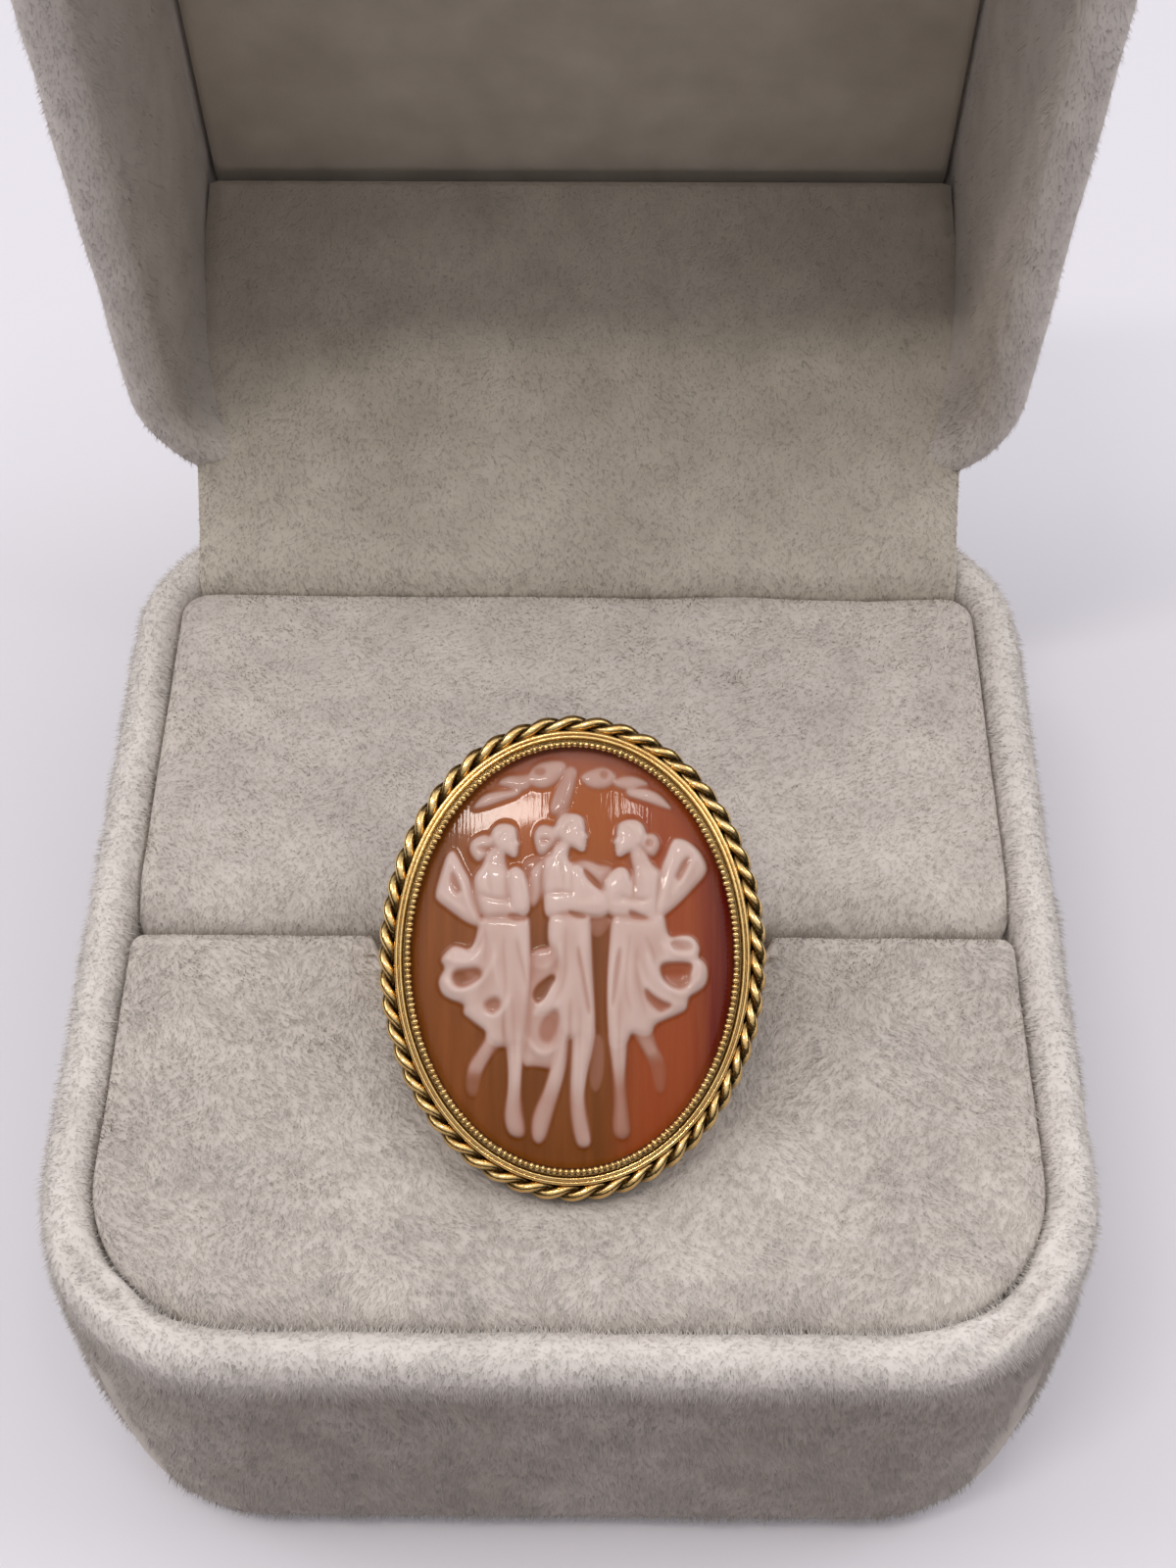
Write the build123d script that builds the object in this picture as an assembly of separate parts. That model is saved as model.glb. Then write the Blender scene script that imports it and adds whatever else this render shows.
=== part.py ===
from build123d import *
import math
import os

# A gold cameo ring standing in its open plush ring box. Millimetres.
# The origin is the centre of the box's underside: +X is to the right of somebody
# who looks into the box, +Y goes back to the hinge and +Z is up.

# Box, as wide and deep as measured over its rolled rims
BOX_WIDTH = 54.0
BOX_DEPTH = 58.0
BASE_HEIGHT = 23.0
LID_HEIGHT = 22.0
CORNER_RADIUS = 9.5
WALL = 2.6
FLOOR = 2.2
WALL_TAPER = 2.5
BOTTOM_ROUNDING = 4.5
RIM_ROUNDING = 1.1
PIECE_GAP = 0.15

# Lid hinge: axis along X just behind the rear wall, at the seam
HINGE_BEHIND_WALL = 0.4
SEAM_GAP = 0.3
LID_OPEN_ANGLE = 79.0
KNUCKLE_RADIUS = 1.2
KNUCKLE_RECESS_RADIUS = 1.5
PIN_RADIUS = 0.5
PIN_CLEARANCE = 0.05
HINGE_HALF_LENGTH = 18.0
LID_KNUCKLE_HALF_LENGTH = 7.9
KNUCKLE_SIDE_GAP = 0.1
LEAF_THICKNESS = 0.7
LEAF_DEPTH_IN_WALL = 7.0
LEAF_BEHIND_INNER_FACE = 0.9
LEAF_SLOT_GAP = 0.05

# Cushions in the base, either side of the ring slot
PAD_TOP = 21.8
PAD_EDGE_ROUNDING = 1.6
SLOT_Y = -2.6
SLOT_WIDTH = 1.2

# Plush-covered card in the lid, and the plush strip over the hinge
PANEL_THICKNESS = 1.2
FLAP_WIDTH = 47.0
FLAP_THICKNESS = 0.9
FLAP_FOOT_Y = 31.0
FLAP_FOOT_Z = 27.8
FLAP_SLOPE = 30.8
FLAP_LENGTH = 15.4

# Ring: the oval setting faces forward and up, square to its finger hoop
RING_FACE_X = 0.15
RING_FACE_Y = -10.5
RING_FACE_Z = 31.3
RING_LEAN = 34.0
STONE_HALF_WIDTH = 8.05
STONE_HALF_LENGTH = 10.5
SETTING_DEPTH = 3.4
SEAT_DEPTH = 2.3
ROPE_LOBES = 52
STATIONS_PER_LOBE = 4
ROPE_OFFSET = 1.2
ROPE_DEPTH = 1.35
STRAND_RADIUS = 0.30
STRAND_SPACING = 0.27
ROPE_CORE_RADIUS = 0.38
FINGER_RADIUS = 8.5
HOOP_THICKNESS = 1.3
HOOP_WIDTH = 2.2
SHOULDER_WIDTH = 4.8
HOOP_DROP = 12.0
POST_INNER_X = 7.45
POST_OUTER_X = 8.35
POST_START_ABOVE_HOOP_CENTRE = 4.4
POST_INTO_HOOP = 0.2
POST_INTO_SETTING = 0.3
SHANK_POCKET_HALF_THICKNESS = 1.5
SHANK_POCKET_CLEARANCE = 0.25

# Cameo: an oval plate with a domed face and raised figures
STONE_CLEARANCE = 0.05
STONE_UNDER_LIP = 0.35
GIRDLE_DEPTH = 0.85
DOME_RADIUS = 32.0
RELIEF_HEIGHT = 0.36
RELIEF_STEP = 0.008

HINGE_Y = BOX_DEPTH / 2 + HINGE_BEHIND_WALL
HINGE_Z = BASE_HEIGHT + SEAM_GAP / 2
LID_RIM_Z = BASE_HEIGHT + SEAM_GAP

ring_plane = Plane(
    origin=(RING_FACE_X, RING_FACE_Y, RING_FACE_Z),
    x_dir=(1, 0, 0),
    z_dir=(0, -math.sin(math.radians(RING_LEAN)), math.cos(math.radians(RING_LEAN))),
)
hinge_axis = Axis((0, HINGE_Y, HINGE_Z), (1, 0, 0))


def block(x_range, y_range, z_range):
    """A box between two limits along each axis."""
    sizes = [high - low for low, high in (x_range, y_range, z_range)]
    middles = [(high + low) / 2 for low, high in (x_range, y_range, z_range)]
    return Pos(*middles) * Box(*sizes)


def rod_along_x(radius, half_length, y, z):
    """A round bar along X, centred on the YZ plane."""
    return Pos(0, y, z) * Rot(0, 90, 0) * Cylinder(radius, 2 * half_length)


def cavity(height, clearance=0):
    """The room inside half of the box, mouth down on z = 0, less a clearance at its walls."""
    inset = WALL + clearance
    mouth = RectangleRounded(BOX_WIDTH - 2 * inset, BOX_DEPTH - 2 * inset, CORNER_RADIUS - inset)
    return extrude(mouth, amount=height - FLOOR - clearance, taper=WALL_TAPER)


def half_box_shell(height):
    """An open tray of rounded-oblong plan, mouth down on z = 0, narrowing upwards."""
    mouth = RectangleRounded(BOX_WIDTH, BOX_DEPTH, CORNER_RADIUS)
    outer = extrude(mouth, amount=height, taper=WALL_TAPER)
    outer = fillet(outer.faces().sort_by(Axis.Z)[-1].edges(), BOTTOM_ROUNDING)
    tray = outer - cavity(height)
    return fillet(tray.faces().sort_by(Axis.Z)[0].edges(), RIM_ROUNDING)


def opened(lid_piece):
    """Turn a piece of the closed lid back to where the lid stands open."""
    return lid_piece.rotate(hinge_axis, -LID_OPEN_ANGLE)


def hinge_recess():
    """The round trough that both shells leave free for the knuckles."""
    half_length = HINGE_HALF_LENGTH + KNUCKLE_SIDE_GAP
    return rod_along_x(KNUCKLE_RECESS_RADIUS, half_length, HINGE_Y, HINGE_Z)


def hinge_leaf(x_ranges, side):
    """A leaf plate in the wall with its knuckles; side is -1 below the seam, 1 above it."""
    plate_front = BOX_DEPTH / 2 - WALL + LEAF_BEHIND_INNER_FACE
    plate_back = plate_front + LEAF_THICKNESS
    seam = BASE_HEIGHT if side < 0 else LID_RIM_Z
    web_height = LEAF_THICKNESS
    near, far = sorted((seam, seam + side * LEAF_DEPTH_IN_WALL))
    web_near, web_far = sorted((seam, seam + side * web_height))
    plate_x = (x_ranges[0][0], x_ranges[-1][1])
    leaf = block(plate_x, (plate_front, plate_back), (near, far))
    for x_range in x_ranges:
        leaf += block(x_range, (plate_front, HINGE_Y), (web_near, web_far))
        middle = (x_range[0] + x_range[1]) / 2
        half_length = (x_range[1] - x_range[0]) / 2
        leaf += Pos(middle, 0, 0) * rod_along_x(KNUCKLE_RADIUS, half_length, HINGE_Y, HINGE_Z)
    bore = rod_along_x(PIN_RADIUS + PIN_CLEARANCE, HINGE_HALF_LENGTH + 1, HINGE_Y, HINGE_Z)
    return leaf - bore


def leaf_slot(x_range, side):
    """The slot in a wall that takes a leaf plate and its webs."""
    plate_front = BOX_DEPTH / 2 - WALL + LEAF_BEHIND_INNER_FACE
    plate_back = plate_front + LEAF_THICKNESS
    seam = BASE_HEIGHT if side < 0 else LID_RIM_Z
    gap = LEAF_SLOT_GAP
    plate_z = sorted((seam - side, seam + side * (LEAF_DEPTH_IN_WALL + gap)))
    web_z = sorted((seam - side, seam + side * (LEAF_THICKNESS + gap)))
    slot_x = (x_range[0] - gap, x_range[1] + gap)
    plate_slot = block(slot_x, (plate_front - gap, plate_back + gap), plate_z)
    web_slot = block(slot_x, (plate_front - gap, HINGE_Y), web_z)
    return plate_slot + web_slot


# The outer knuckles belong to the base, the middle one to the lid
BASE_KNUCKLES = [
    (-HINGE_HALF_LENGTH, -LID_KNUCKLE_HALF_LENGTH - KNUCKLE_SIDE_GAP),
    (LID_KNUCKLE_HALF_LENGTH + KNUCKLE_SIDE_GAP, HINGE_HALF_LENGTH),
]
LID_KNUCKLES = [(-LID_KNUCKLE_HALF_LENGTH, LID_KNUCKLE_HALF_LENGTH)]


def make_base_shell():
    """The lower tray, mouth up, with its flat underside on z = 0."""
    shell = Pos(0, 0, BASE_HEIGHT) * Rot(180, 0, 0) * half_box_shell(BASE_HEIGHT)
    shell -= hinge_recess()
    return shell - leaf_slot((BASE_KNUCKLES[0][0], BASE_KNUCKLES[1][1]), -1)


def make_lid_shell():
    """The upper tray, mouth down when closed, standing open."""
    shell = Pos(0, 0, LID_RIM_Z) * half_box_shell(LID_HEIGHT)
    shell -= hinge_recess()
    shell -= leaf_slot(LID_KNUCKLES[0], 1)
    return opened(shell)


def make_hinge():
    """The two leaves and the pin they turn on."""
    base_leaf = hinge_leaf(BASE_KNUCKLES, -1)
    lid_leaf = opened(hinge_leaf(LID_KNUCKLES, 1))
    pin = rod_along_x(PIN_RADIUS, HINGE_HALF_LENGTH, HINGE_Y, HINGE_Z)
    return base_leaf, lid_leaf, pin


def make_lid_ceiling_panel():
    """The covered card that lines the closed end of the lid."""
    top = LID_RIM_Z + LID_HEIGHT - FLOOR - PIECE_GAP
    layer = block((-BOX_WIDTH, BOX_WIDTH), (-BOX_DEPTH, BOX_DEPTH), (top - PANEL_THICKNESS, top))
    return opened(Pos(0, 0, LID_RIM_Z) * cavity(LID_HEIGHT, PIECE_GAP) & layer)


def make_hinge_flap():
    """The plush strip's stretch on the lid, from its rear rim up to the ceiling panel."""
    strip = Box(
        FLAP_WIDTH, FLAP_LENGTH, FLAP_THICKNESS, align=(Align.CENTER, Align.MIN, Align.MAX)
    )
    strip = fillet(strip.edges().filter_by(Axis.X), FLAP_THICKNESS * 0.4)
    strip = Pos(0, FLAP_FOOT_Y, FLAP_FOOT_Z) * Rot(FLAP_SLOPE, 0, 0) * strip
    strip_closed = strip.rotate(hinge_axis, LID_OPEN_ANGLE)
    return opened(strip_closed & Pos(0, 0, LID_RIM_Z) * cavity(LID_HEIGHT, PIECE_GAP))


def shank_pocket():
    """The room that the finger hoop takes between the cushions, open along the ring's axis."""
    radius = FINGER_RADIUS + HOOP_THICKNESS + SHANK_POCKET_CLEARANCE
    thickness = 2 * SHANK_POCKET_HALF_THICKNESS
    hoop_room = Pos(0, 0, -HOOP_DROP) * Rot(90, 0, 0) * Cylinder(radius, thickness)
    way_out = block((-radius, radius), (-thickness / 2, thickness / 2), (-HOOP_DROP, 0))
    return ring_plane.location * (hoop_room + way_out)


def make_pad(front, back):
    """A cushion that fills the base's cavity from one Y to another."""
    fill = Pos(0, 0, BASE_HEIGHT) * Rot(180, 0, 0) * cavity(BASE_HEIGHT, PIECE_GAP)
    pad = fill & block((-BOX_WIDTH, BOX_WIDTH), (front, back), (0, PAD_TOP))
    pad = fillet(pad.faces().sort_by(Axis.Z)[-1].edges(), PAD_EDGE_ROUNDING)
    return pad - shank_pocket()


def oval_stations(count):
    """Points and outward normals at equal steps along the stone's visible outline."""
    steps = 3600
    lengths = [0.0]
    for step in range(steps):
        angle = 2 * math.pi * (step + 0.5) / steps
        across = STONE_HALF_WIDTH * math.sin(angle)
        along = STONE_HALF_LENGTH * math.cos(angle)
        lengths.append(lengths[-1] + math.hypot(across, along) * 2 * math.pi / steps)
    stations = []
    step = 0
    for index in range(count):
        wanted = lengths[-1] * index / count
        while lengths[step + 1] < wanted:
            step += 1
        part = (wanted - lengths[step]) / (lengths[step + 1] - lengths[step])
        angle = 2 * math.pi * (step + part) / steps
        x = STONE_HALF_WIDTH * math.cos(angle)
        y = STONE_HALF_LENGTH * math.sin(angle)
        normal = Vector(x / STONE_HALF_WIDTH**2, y / STONE_HALF_LENGTH**2, 0).normalized()
        stations.append((Vector(x, y, 0), normal))
    return stations


def rope_radius(direction, twist):
    """Reach of the two twisted strands from the rope's centre, in one direction."""
    turn = direction - twist
    side = STRAND_SPACING * math.sin(turn)
    reach = STRAND_SPACING * abs(math.cos(turn)) + math.sqrt(STRAND_RADIUS**2 - side**2)
    return max(reach, ROPE_CORE_RADIUS)


def setting_section(twist):
    """The setting's section, going round it: offset from the stone's outline, height."""
    lip_and_bezel = [
        (-0.60, -SEAT_DEPTH),
        (0.40, -SEAT_DEPTH),
        (0.40, -0.80),
        (0.05, -0.62),
        (0.00, -0.20),
        (0.12, 0.00),
        (0.30, -0.08),
        (0.50, -0.75),
        (0.65, -0.90),
    ]
    rope = []
    for degrees in (150, 110, 70, 30, -10, -50, -90):
        direction = math.radians(degrees)
        reach = rope_radius(direction, twist)
        rope.append(
            (ROPE_OFFSET + reach * math.cos(direction), -ROPE_DEPTH + reach * math.sin(direction))
        )
    foot = [(0.62, -2.1), (0.62, -SETTING_DEPTH), (-0.60, -SETTING_DEPTH)]
    return lip_and_bezel + rope + foot


def make_setting():
    """The bezel with its lip, ledge and rope border, as one faceted ring."""
    count = ROPE_LOBES * STATIONS_PER_LOBE
    loops = []
    for index, (place, normal) in enumerate(oval_stations(count)):
        twist = math.pi * ROPE_LOBES * index / count
        section = setting_section(twist)
        loops.append([place + normal * offset + Vector(0, 0, z) for offset, z in section])
    size = len(loops[0])
    section = setting_section(0)
    faces = []
    for corner in range(size):
        after = (corner + 1) % size
        here = [loop[corner] for loop in loops]
        there = [loop[after] for loop in loops]
        if section[corner][1] == section[after][1]:
            rims = [Wire.make_polygon(here, close=True), Wire.make_polygon(there, close=True)]
            inner, outer = sorted(rims, key=lambda wire: wire.length)
            faces.append(Face(outer, [inner]))
            continue
        upright = section[corner][0] == section[after][0]
        for index in range(count):
            a, b = here[index], here[(index + 1) % count]
            c, d = there[(index + 1) % count], there[index]
            corners = [[a, b, c, d]] if upright else [[a, b, c], [a, c, d]]
            for points in corners:
                faces.append(Face(Wire.make_polygon(points, close=True)))
    return Solid(Shell(faces))


def make_shank():
    """The finger hoop with two shoulders that rise to the setting's underside."""
    outer_radius = FINGER_RADIUS + HOOP_THICKNESS
    hoop = Circle(outer_radius) - Circle(FINGER_RADIUS)
    cut_height = 2 * outer_radius
    hoop -= Pos(0, POST_START_ABOVE_HOOP_CENTRE + cut_height / 2) * Rectangle(
        3 * outer_radius, cut_height
    )
    top = HOOP_DROP - SETTING_DEPTH + POST_INTO_SETTING
    bottom = POST_START_ABOVE_HOOP_CENTRE - POST_INTO_HOOP
    post = Pos((POST_INNER_X + POST_OUTER_X) / 2, (top + bottom) / 2) * Rectangle(
        POST_OUTER_X - POST_INNER_X, top - bottom
    )
    outline = hoop + post + mirror(post, Plane.YZ)
    front_view = Plane(origin=(0, 0, -HOOP_DROP), x_dir=(1, 0, 0), z_dir=(0, -1, 0))
    metal = extrude(front_view * outline, amount=SHOULDER_WIDTH, both=True)
    low = -outer_radius - 1
    side_outline = Polygon(
        (-HOOP_WIDTH / 2, low),
        (HOOP_WIDTH / 2, low),
        (HOOP_WIDTH / 2, 0),
        (SHOULDER_WIDTH / 2, top),
        (-SHOULDER_WIDTH / 2, top),
        (-HOOP_WIDTH / 2, 0),
        align=None,
    )
    side_view = Plane(origin=(0, 0, -HOOP_DROP), x_dir=(0, 1, 0), z_dir=(1, 0, 0))
    return metal & extrude(side_view * side_outline, amount=2 * outer_radius, both=True)


def make_ring_mount():
    """All of the ring's gold, soldered into one piece."""
    return ring_plane.location * (make_setting() + make_shank())


def ball(rise):
    """The ball whose top is the cameo's dome, swollen by a rise."""
    half_x = STONE_HALF_WIDTH + STONE_UNDER_LIP
    centre = -GIRDLE_DEPTH - math.sqrt(DOME_RADIUS**2 - half_x**2)
    return Pos(0, 0, centre) * Sphere(DOME_RADIUS + rise)


def limb(start, end, start_radius, end_radius):
    """The outline of an arm, leg, neck or stem: two circles and their tangents."""
    start_circle = Pos(*start) * Circle(start_radius)
    end_circle = Pos(*end) * Circle(end_radius)
    return make_hull([*start_circle.edges(), *end_circle.edges()])


# Figures on the cameo, in mm from its centre, the right-hand side and up being positive.
# Heads and hair knots: centre x, centre y, half width, half height.
HEADS = [
    (-3.41, 5.80, 0.62, 0.78),
    (-4.78, 5.45, 0.48, 0.45),
    (-0.10, 6.45, 0.66, 0.80),
    (-1.45, 6.12, 0.50, 0.46),
    (2.90, 6.05, 0.62, 0.78),
    (3.92, 5.72, 0.46, 0.50),
]
# Necks, arms, legs and stems: start, end, start radius, end radius.
LIMBS = [
    ((-3.60, 5.10), (-3.45, 3.90), 0.32, 0.45),
    ((-4.35, 5.65), (-3.80, 5.90), 0.30, 0.40),
    ((-2.79, -3.10), (-2.84, -8.70), 0.50, 0.34),
    ((-3.60, -3.20), (-5.15, -6.50), 0.48, 0.22),
    ((-0.33, 5.80), (-0.45, 4.40), 0.33, 0.46),
    ((-1.10, 6.30), (-0.50, 6.60), 0.30, 0.42),
    ((0.35, 4.40), (1.65, 3.60), 0.42, 0.32),
    ((-0.10, 2.45), (1.90, 2.35), 0.36, 0.32),
    ((-1.50, 4.30), (-2.30, 2.50), 0.42, 0.34),
    ((-0.24, -4.20), (-1.62, -8.90), 0.50, 0.36),
    ((0.48, -3.80), (0.62, -9.05), 0.50, 0.36),
    ((3.25, 5.40), (3.40, 4.00), 0.32, 0.45),
    ((2.39, -3.10), (2.46, -8.65), 0.50, 0.32),
    ((3.36, -2.50), (4.85, -6.40), 0.46, 0.20),
    ((0.05, 9.75), (-0.30, 7.40), 0.22, 0.36),
    ((-0.60, 9.35), (-2.40, 9.00), 0.34, 0.30),
    ((-2.40, 9.00), (-4.60, 7.95), 0.30, 0.16),
    ((0.75, 9.35), (2.50, 9.00), 0.32, 0.28),
    ((2.50, 9.00), (4.60, 7.90), 0.28, 0.14),
]
# Dress outlines, walked round: bodices, lifted veils and skirts of the three figures.
DRESSES = [
    [(-4.90, 4.20), (-2.60, 4.50), (-2.20, 3.60), (-2.18, 1.60), (-4.62, 1.60), (-4.90, 3.00)],
    [(-5.87, 5.33), (-5.20, 4.20), (-4.60, 1.70), (-6.75, 2.86), (-6.93, 3.30), (-6.50, 4.40)],
    [
        (-4.60, 1.80), (-2.15, 1.80), (-2.05, -2.20), (-2.28, -4.00), (-3.35, -4.05),
        (-4.20, -3.65), (-5.25, -2.85), (-5.45, -2.15), (-6.35, -1.95), (-6.75, -1.35),
        (-6.40, -0.60), (-6.60, -0.10), (-6.15, 0.45), (-5.25, 0.45),
    ],
    [(-2.00, 4.30), (0.70, 4.50), (1.00, 3.20), (0.90, 1.70), (-1.30, 1.70), (-1.70, 3.00)],
    [
        (-1.25, 1.90), (0.90, 1.90), (1.08, -1.00), (1.10, -2.95), (0.75, -5.00),
        (-0.65, -5.20), (-1.65, -5.50), (-2.25, -4.85), (-2.05, -3.40), (-1.75, -1.80),
        (-1.30, -0.50), (-1.75, 0.20),
    ],
    [(1.80, 4.10), (4.50, 4.10), (4.65, 3.40), (4.40, 1.60), (1.88, 1.60), (1.70, 3.00)],
    [(4.40, 3.80), (4.95, 5.75), (5.60, 5.95), (6.35, 5.45), (6.68, 4.60), (5.60, 3.10),
     (4.15, 1.90)],
    [
        (1.88, 1.80), (4.45, 1.80), (4.80, 1.00), (5.90, 1.00), (6.30, 0.35), (6.70, -0.50),
        (6.68, -1.35), (5.70, -2.00), (5.65, -2.65), (4.20, -3.30), (3.30, -3.10),
        (2.90, -4.00), (1.98, -4.10), (1.78, -2.20),
    ],
]


def make_cameo():
    """The carved shell: a domed ground with the figures raised from it in layers."""
    half_x = STONE_HALF_WIDTH + STONE_UNDER_LIP
    half_y = STONE_HALF_LENGTH + STONE_UNDER_LIP
    plate_bottom = -SEAT_DEPTH + STONE_CLEARANCE
    plate = Pos(0, 0, plate_bottom) * extrude(Ellipse(half_x, half_y), amount=SETTING_DEPTH)
    stone = plate & ball(0)
    outlines = [Polygon(*outline, align=None) for outline in DRESSES]
    outlines += [limb(*row) for row in LIMBS]
    outlines += [Pos(row[0], row[1]) * Ellipse(row[2], row[3]) for row in HEADS]
    relief_start = plate_bottom + STONE_CLEARANCE
    for layer, outline in enumerate(outlines):
        figure = extrude(outline, amount=SETTING_DEPTH, dir=(0, 0, 1))
        figure = Pos(0, 0, relief_start) * figure
        stone += figure & ball(RELIEF_HEIGHT + layer * RELIEF_STEP)
    return ring_plane.location * stone


def write_part(name, shape):
    """Write one piece to its own file in parts/."""
    export_step(shape, f"parts/{name}.step")


os.makedirs("parts", exist_ok=True)
base_leaf, lid_leaf, pin = make_hinge()
rear_wall_inside = BOX_DEPTH / 2 - WALL
write_part("base_shell", make_base_shell())
write_part("front_pad", make_pad(-rear_wall_inside, SLOT_Y - SLOT_WIDTH / 2))
write_part("rear_pad", make_pad(SLOT_Y + SLOT_WIDTH / 2, rear_wall_inside))
write_part("lid_shell", make_lid_shell())
write_part("lid_ceiling_panel", make_lid_ceiling_panel())
write_part("hinge_flap", make_hinge_flap())
write_part("hinge_base_leaf", base_leaf)
write_part("hinge_lid_leaf", lid_leaf)
write_part("hinge_pin", pin)
write_part("ring_mount", make_ring_mount())
write_part("cameo", make_cameo())
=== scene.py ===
import math

import bpy
import numpy as np
from mathutils import Matrix, Vector


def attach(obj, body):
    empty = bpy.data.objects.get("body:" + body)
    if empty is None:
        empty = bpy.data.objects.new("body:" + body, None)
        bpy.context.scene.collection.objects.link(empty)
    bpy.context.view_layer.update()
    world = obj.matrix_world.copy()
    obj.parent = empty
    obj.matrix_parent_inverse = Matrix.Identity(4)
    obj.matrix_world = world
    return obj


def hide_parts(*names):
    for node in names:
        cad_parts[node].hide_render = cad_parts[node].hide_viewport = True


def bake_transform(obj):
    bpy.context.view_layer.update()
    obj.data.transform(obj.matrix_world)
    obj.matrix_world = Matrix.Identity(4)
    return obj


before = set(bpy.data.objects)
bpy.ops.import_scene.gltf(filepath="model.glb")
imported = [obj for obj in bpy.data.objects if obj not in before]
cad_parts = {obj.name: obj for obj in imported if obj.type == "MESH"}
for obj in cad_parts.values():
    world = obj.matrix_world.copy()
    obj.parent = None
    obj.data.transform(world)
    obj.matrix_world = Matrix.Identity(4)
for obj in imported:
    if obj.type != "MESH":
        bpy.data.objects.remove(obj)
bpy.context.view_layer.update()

# The scene is in metres, and the real sizes in it are written in millimetres.
MM = 0.001


# Studio: a pale paper floor under soft light from above, and the camera, which is held
# over the front of the box and looks down past the ring to the hinge.
CAMERA_PLACE = (1.65, -74.3, 126.9)
CAMERA_DOWN = 51.96
CAMERA_TO_LEFT = 0.605
CAMERA_ROLL = -0.178
CAMERA_LENS = 52.5
PAPER_SIZE = 1600.0
PAPER = "#e4e1e6"
ROOM_CEILING = "#f6f6fa"
ROOM_WALLS = "#3b3835"
ROOM_STRENGTH = 1.28


def linear(colour):
    """The linear red, green, blue and alpha of an sRGB hex colour."""
    parts = [int(colour[start:start + 2], 16) / 255 for start in (1, 3, 5)]
    bent = [part / 12.92 if part <= 0.04045 else ((part + 0.055) / 1.055) ** 2.4 for part in parts]
    return (*bent, 1.0)


def add_node(tree, kind, sockets=None, **settings):
    """Adds a node with its settings. Each named socket takes a value, or a link from an output."""
    node = tree.nodes.new(kind)
    for name, value in settings.items():
        setattr(node, name, value)
    for name, value in (sockets or {}).items():
        if isinstance(value, bpy.types.NodeSocket):
            tree.links.new(value, node.inputs[name])
        else:
            node.inputs[name].default_value = value
    return node


def new_material(name):
    """An empty material, its node tree and its output node."""
    material = bpy.data.materials.new(name)
    material.use_nodes = True
    material.node_tree.nodes.clear()
    output = add_node(material.node_tree, "ShaderNodeOutputMaterial")
    return material, material.node_tree, output


def build_piece(name, points, faces, material):
    """Makes a smooth mesh object of points in mm. faces is a list of arrays, one row of corner
    numbers a face. A closed surface whose volume comes out negative is turned right side out."""
    volume = 0.0
    for group in faces:
        first = points[group[:, 0]]
        for corner in range(1, group.shape[1] - 1):
            second = points[group[:, corner]]
            third = points[group[:, corner + 1]]
            volume += np.einsum("ij,ij->", first, np.cross(second, third))
    if volume < 0:
        faces = [group[:, ::-1] for group in faces]
    mesh = bpy.data.meshes.new(name)
    mesh.vertices.add(len(points))
    mesh.vertices.foreach_set("co", (points * MM).astype(np.float32).ravel())
    corners = np.concatenate([group.ravel() for group in faces])
    sizes = np.concatenate([np.full(len(group), group.shape[1]) for group in faces])
    mesh.loops.add(len(corners))
    mesh.loops.foreach_set("vertex_index", corners.astype(np.int32))
    mesh.polygons.add(len(sizes))
    mesh.polygons.foreach_set("loop_start", (np.cumsum(sizes) - sizes).astype(np.int32))
    mesh.update(calc_edges=True)
    mesh.shade_smooth()
    mesh.materials.append(material)
    piece = bpy.data.objects.new(name, mesh)
    bpy.context.scene.collection.objects.link(piece)
    return piece


camera = bpy.data.objects.new("camera", bpy.data.cameras.new("camera"))
bpy.context.scene.collection.objects.link(camera)
camera.data.sensor_width = 36.0
camera.data.lens = CAMERA_LENS
camera.data.clip_start = 0.005
camera.matrix_world = (
    Matrix.Translation([part * MM for part in CAMERA_PLACE])
    @ Matrix.Rotation(math.radians(CAMERA_TO_LEFT), 4, "Z")
    @ Matrix.Rotation(math.radians(90 - CAMERA_DOWN), 4, "X")
    @ Matrix.Rotation(math.radians(CAMERA_ROLL), 4, "Z")
)
bpy.context.scene.camera = camera
bpy.context.scene.view_settings.view_transform = "Standard"

paper, tree, output = new_material("matt_paper")
grain = add_node(tree, "ShaderNodeTexNoise", {"Scale": 900.0, "Detail": 3.0})
bump = add_node(
    tree, "ShaderNodeBump", {"Height": grain.outputs["Fac"], "Strength": 0.05, "Distance": 0.0002}
)
shader = add_node(
    tree,
    "ShaderNodeBsdfPrincipled",
    {"Base Color": linear(PAPER), "Roughness": 0.8, "Normal": bump.outputs["Normal"]},
)
tree.links.new(shader.outputs["BSDF"], output.inputs["Surface"])
half = PAPER_SIZE / 2
floor = build_piece(
    "paper_floor",
    np.array([(-half, -half, 0), (half, -half, 0), (half, half, 0), (-half, half, 0)], float),
    [np.array([(0, 1, 2, 3)])],
    paper,
)

world = bpy.data.worlds.new("room")
world.use_nodes = True
world.node_tree.nodes.clear()
way = add_node(world.node_tree, "ShaderNodeTexCoord")
parts = add_node(world.node_tree, "ShaderNodeSeparateXYZ", {"Vector": way.outputs["Generated"]})
height = add_node(
    world.node_tree,
    "ShaderNodeMapRange",
    {"Value": parts.outputs["Z"], "From Min": 0.32, "From Max": 0.9},
)
shade = add_node(
    world.node_tree,
    "ShaderNodeMix",
    {"Factor": height.outputs["Result"], 6: linear(ROOM_WALLS), 7: linear(ROOM_CEILING)},
    data_type="RGBA",
)
sky = add_node(
    world.node_tree, "ShaderNodeBackground", {"Color": shade.outputs[2], "Strength": ROOM_STRENGTH}
)
add_node(world.node_tree, "ShaderNodeOutputWorld", {"Surface": sky.outputs["Background"]})
bpy.context.scene.world = world

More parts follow.
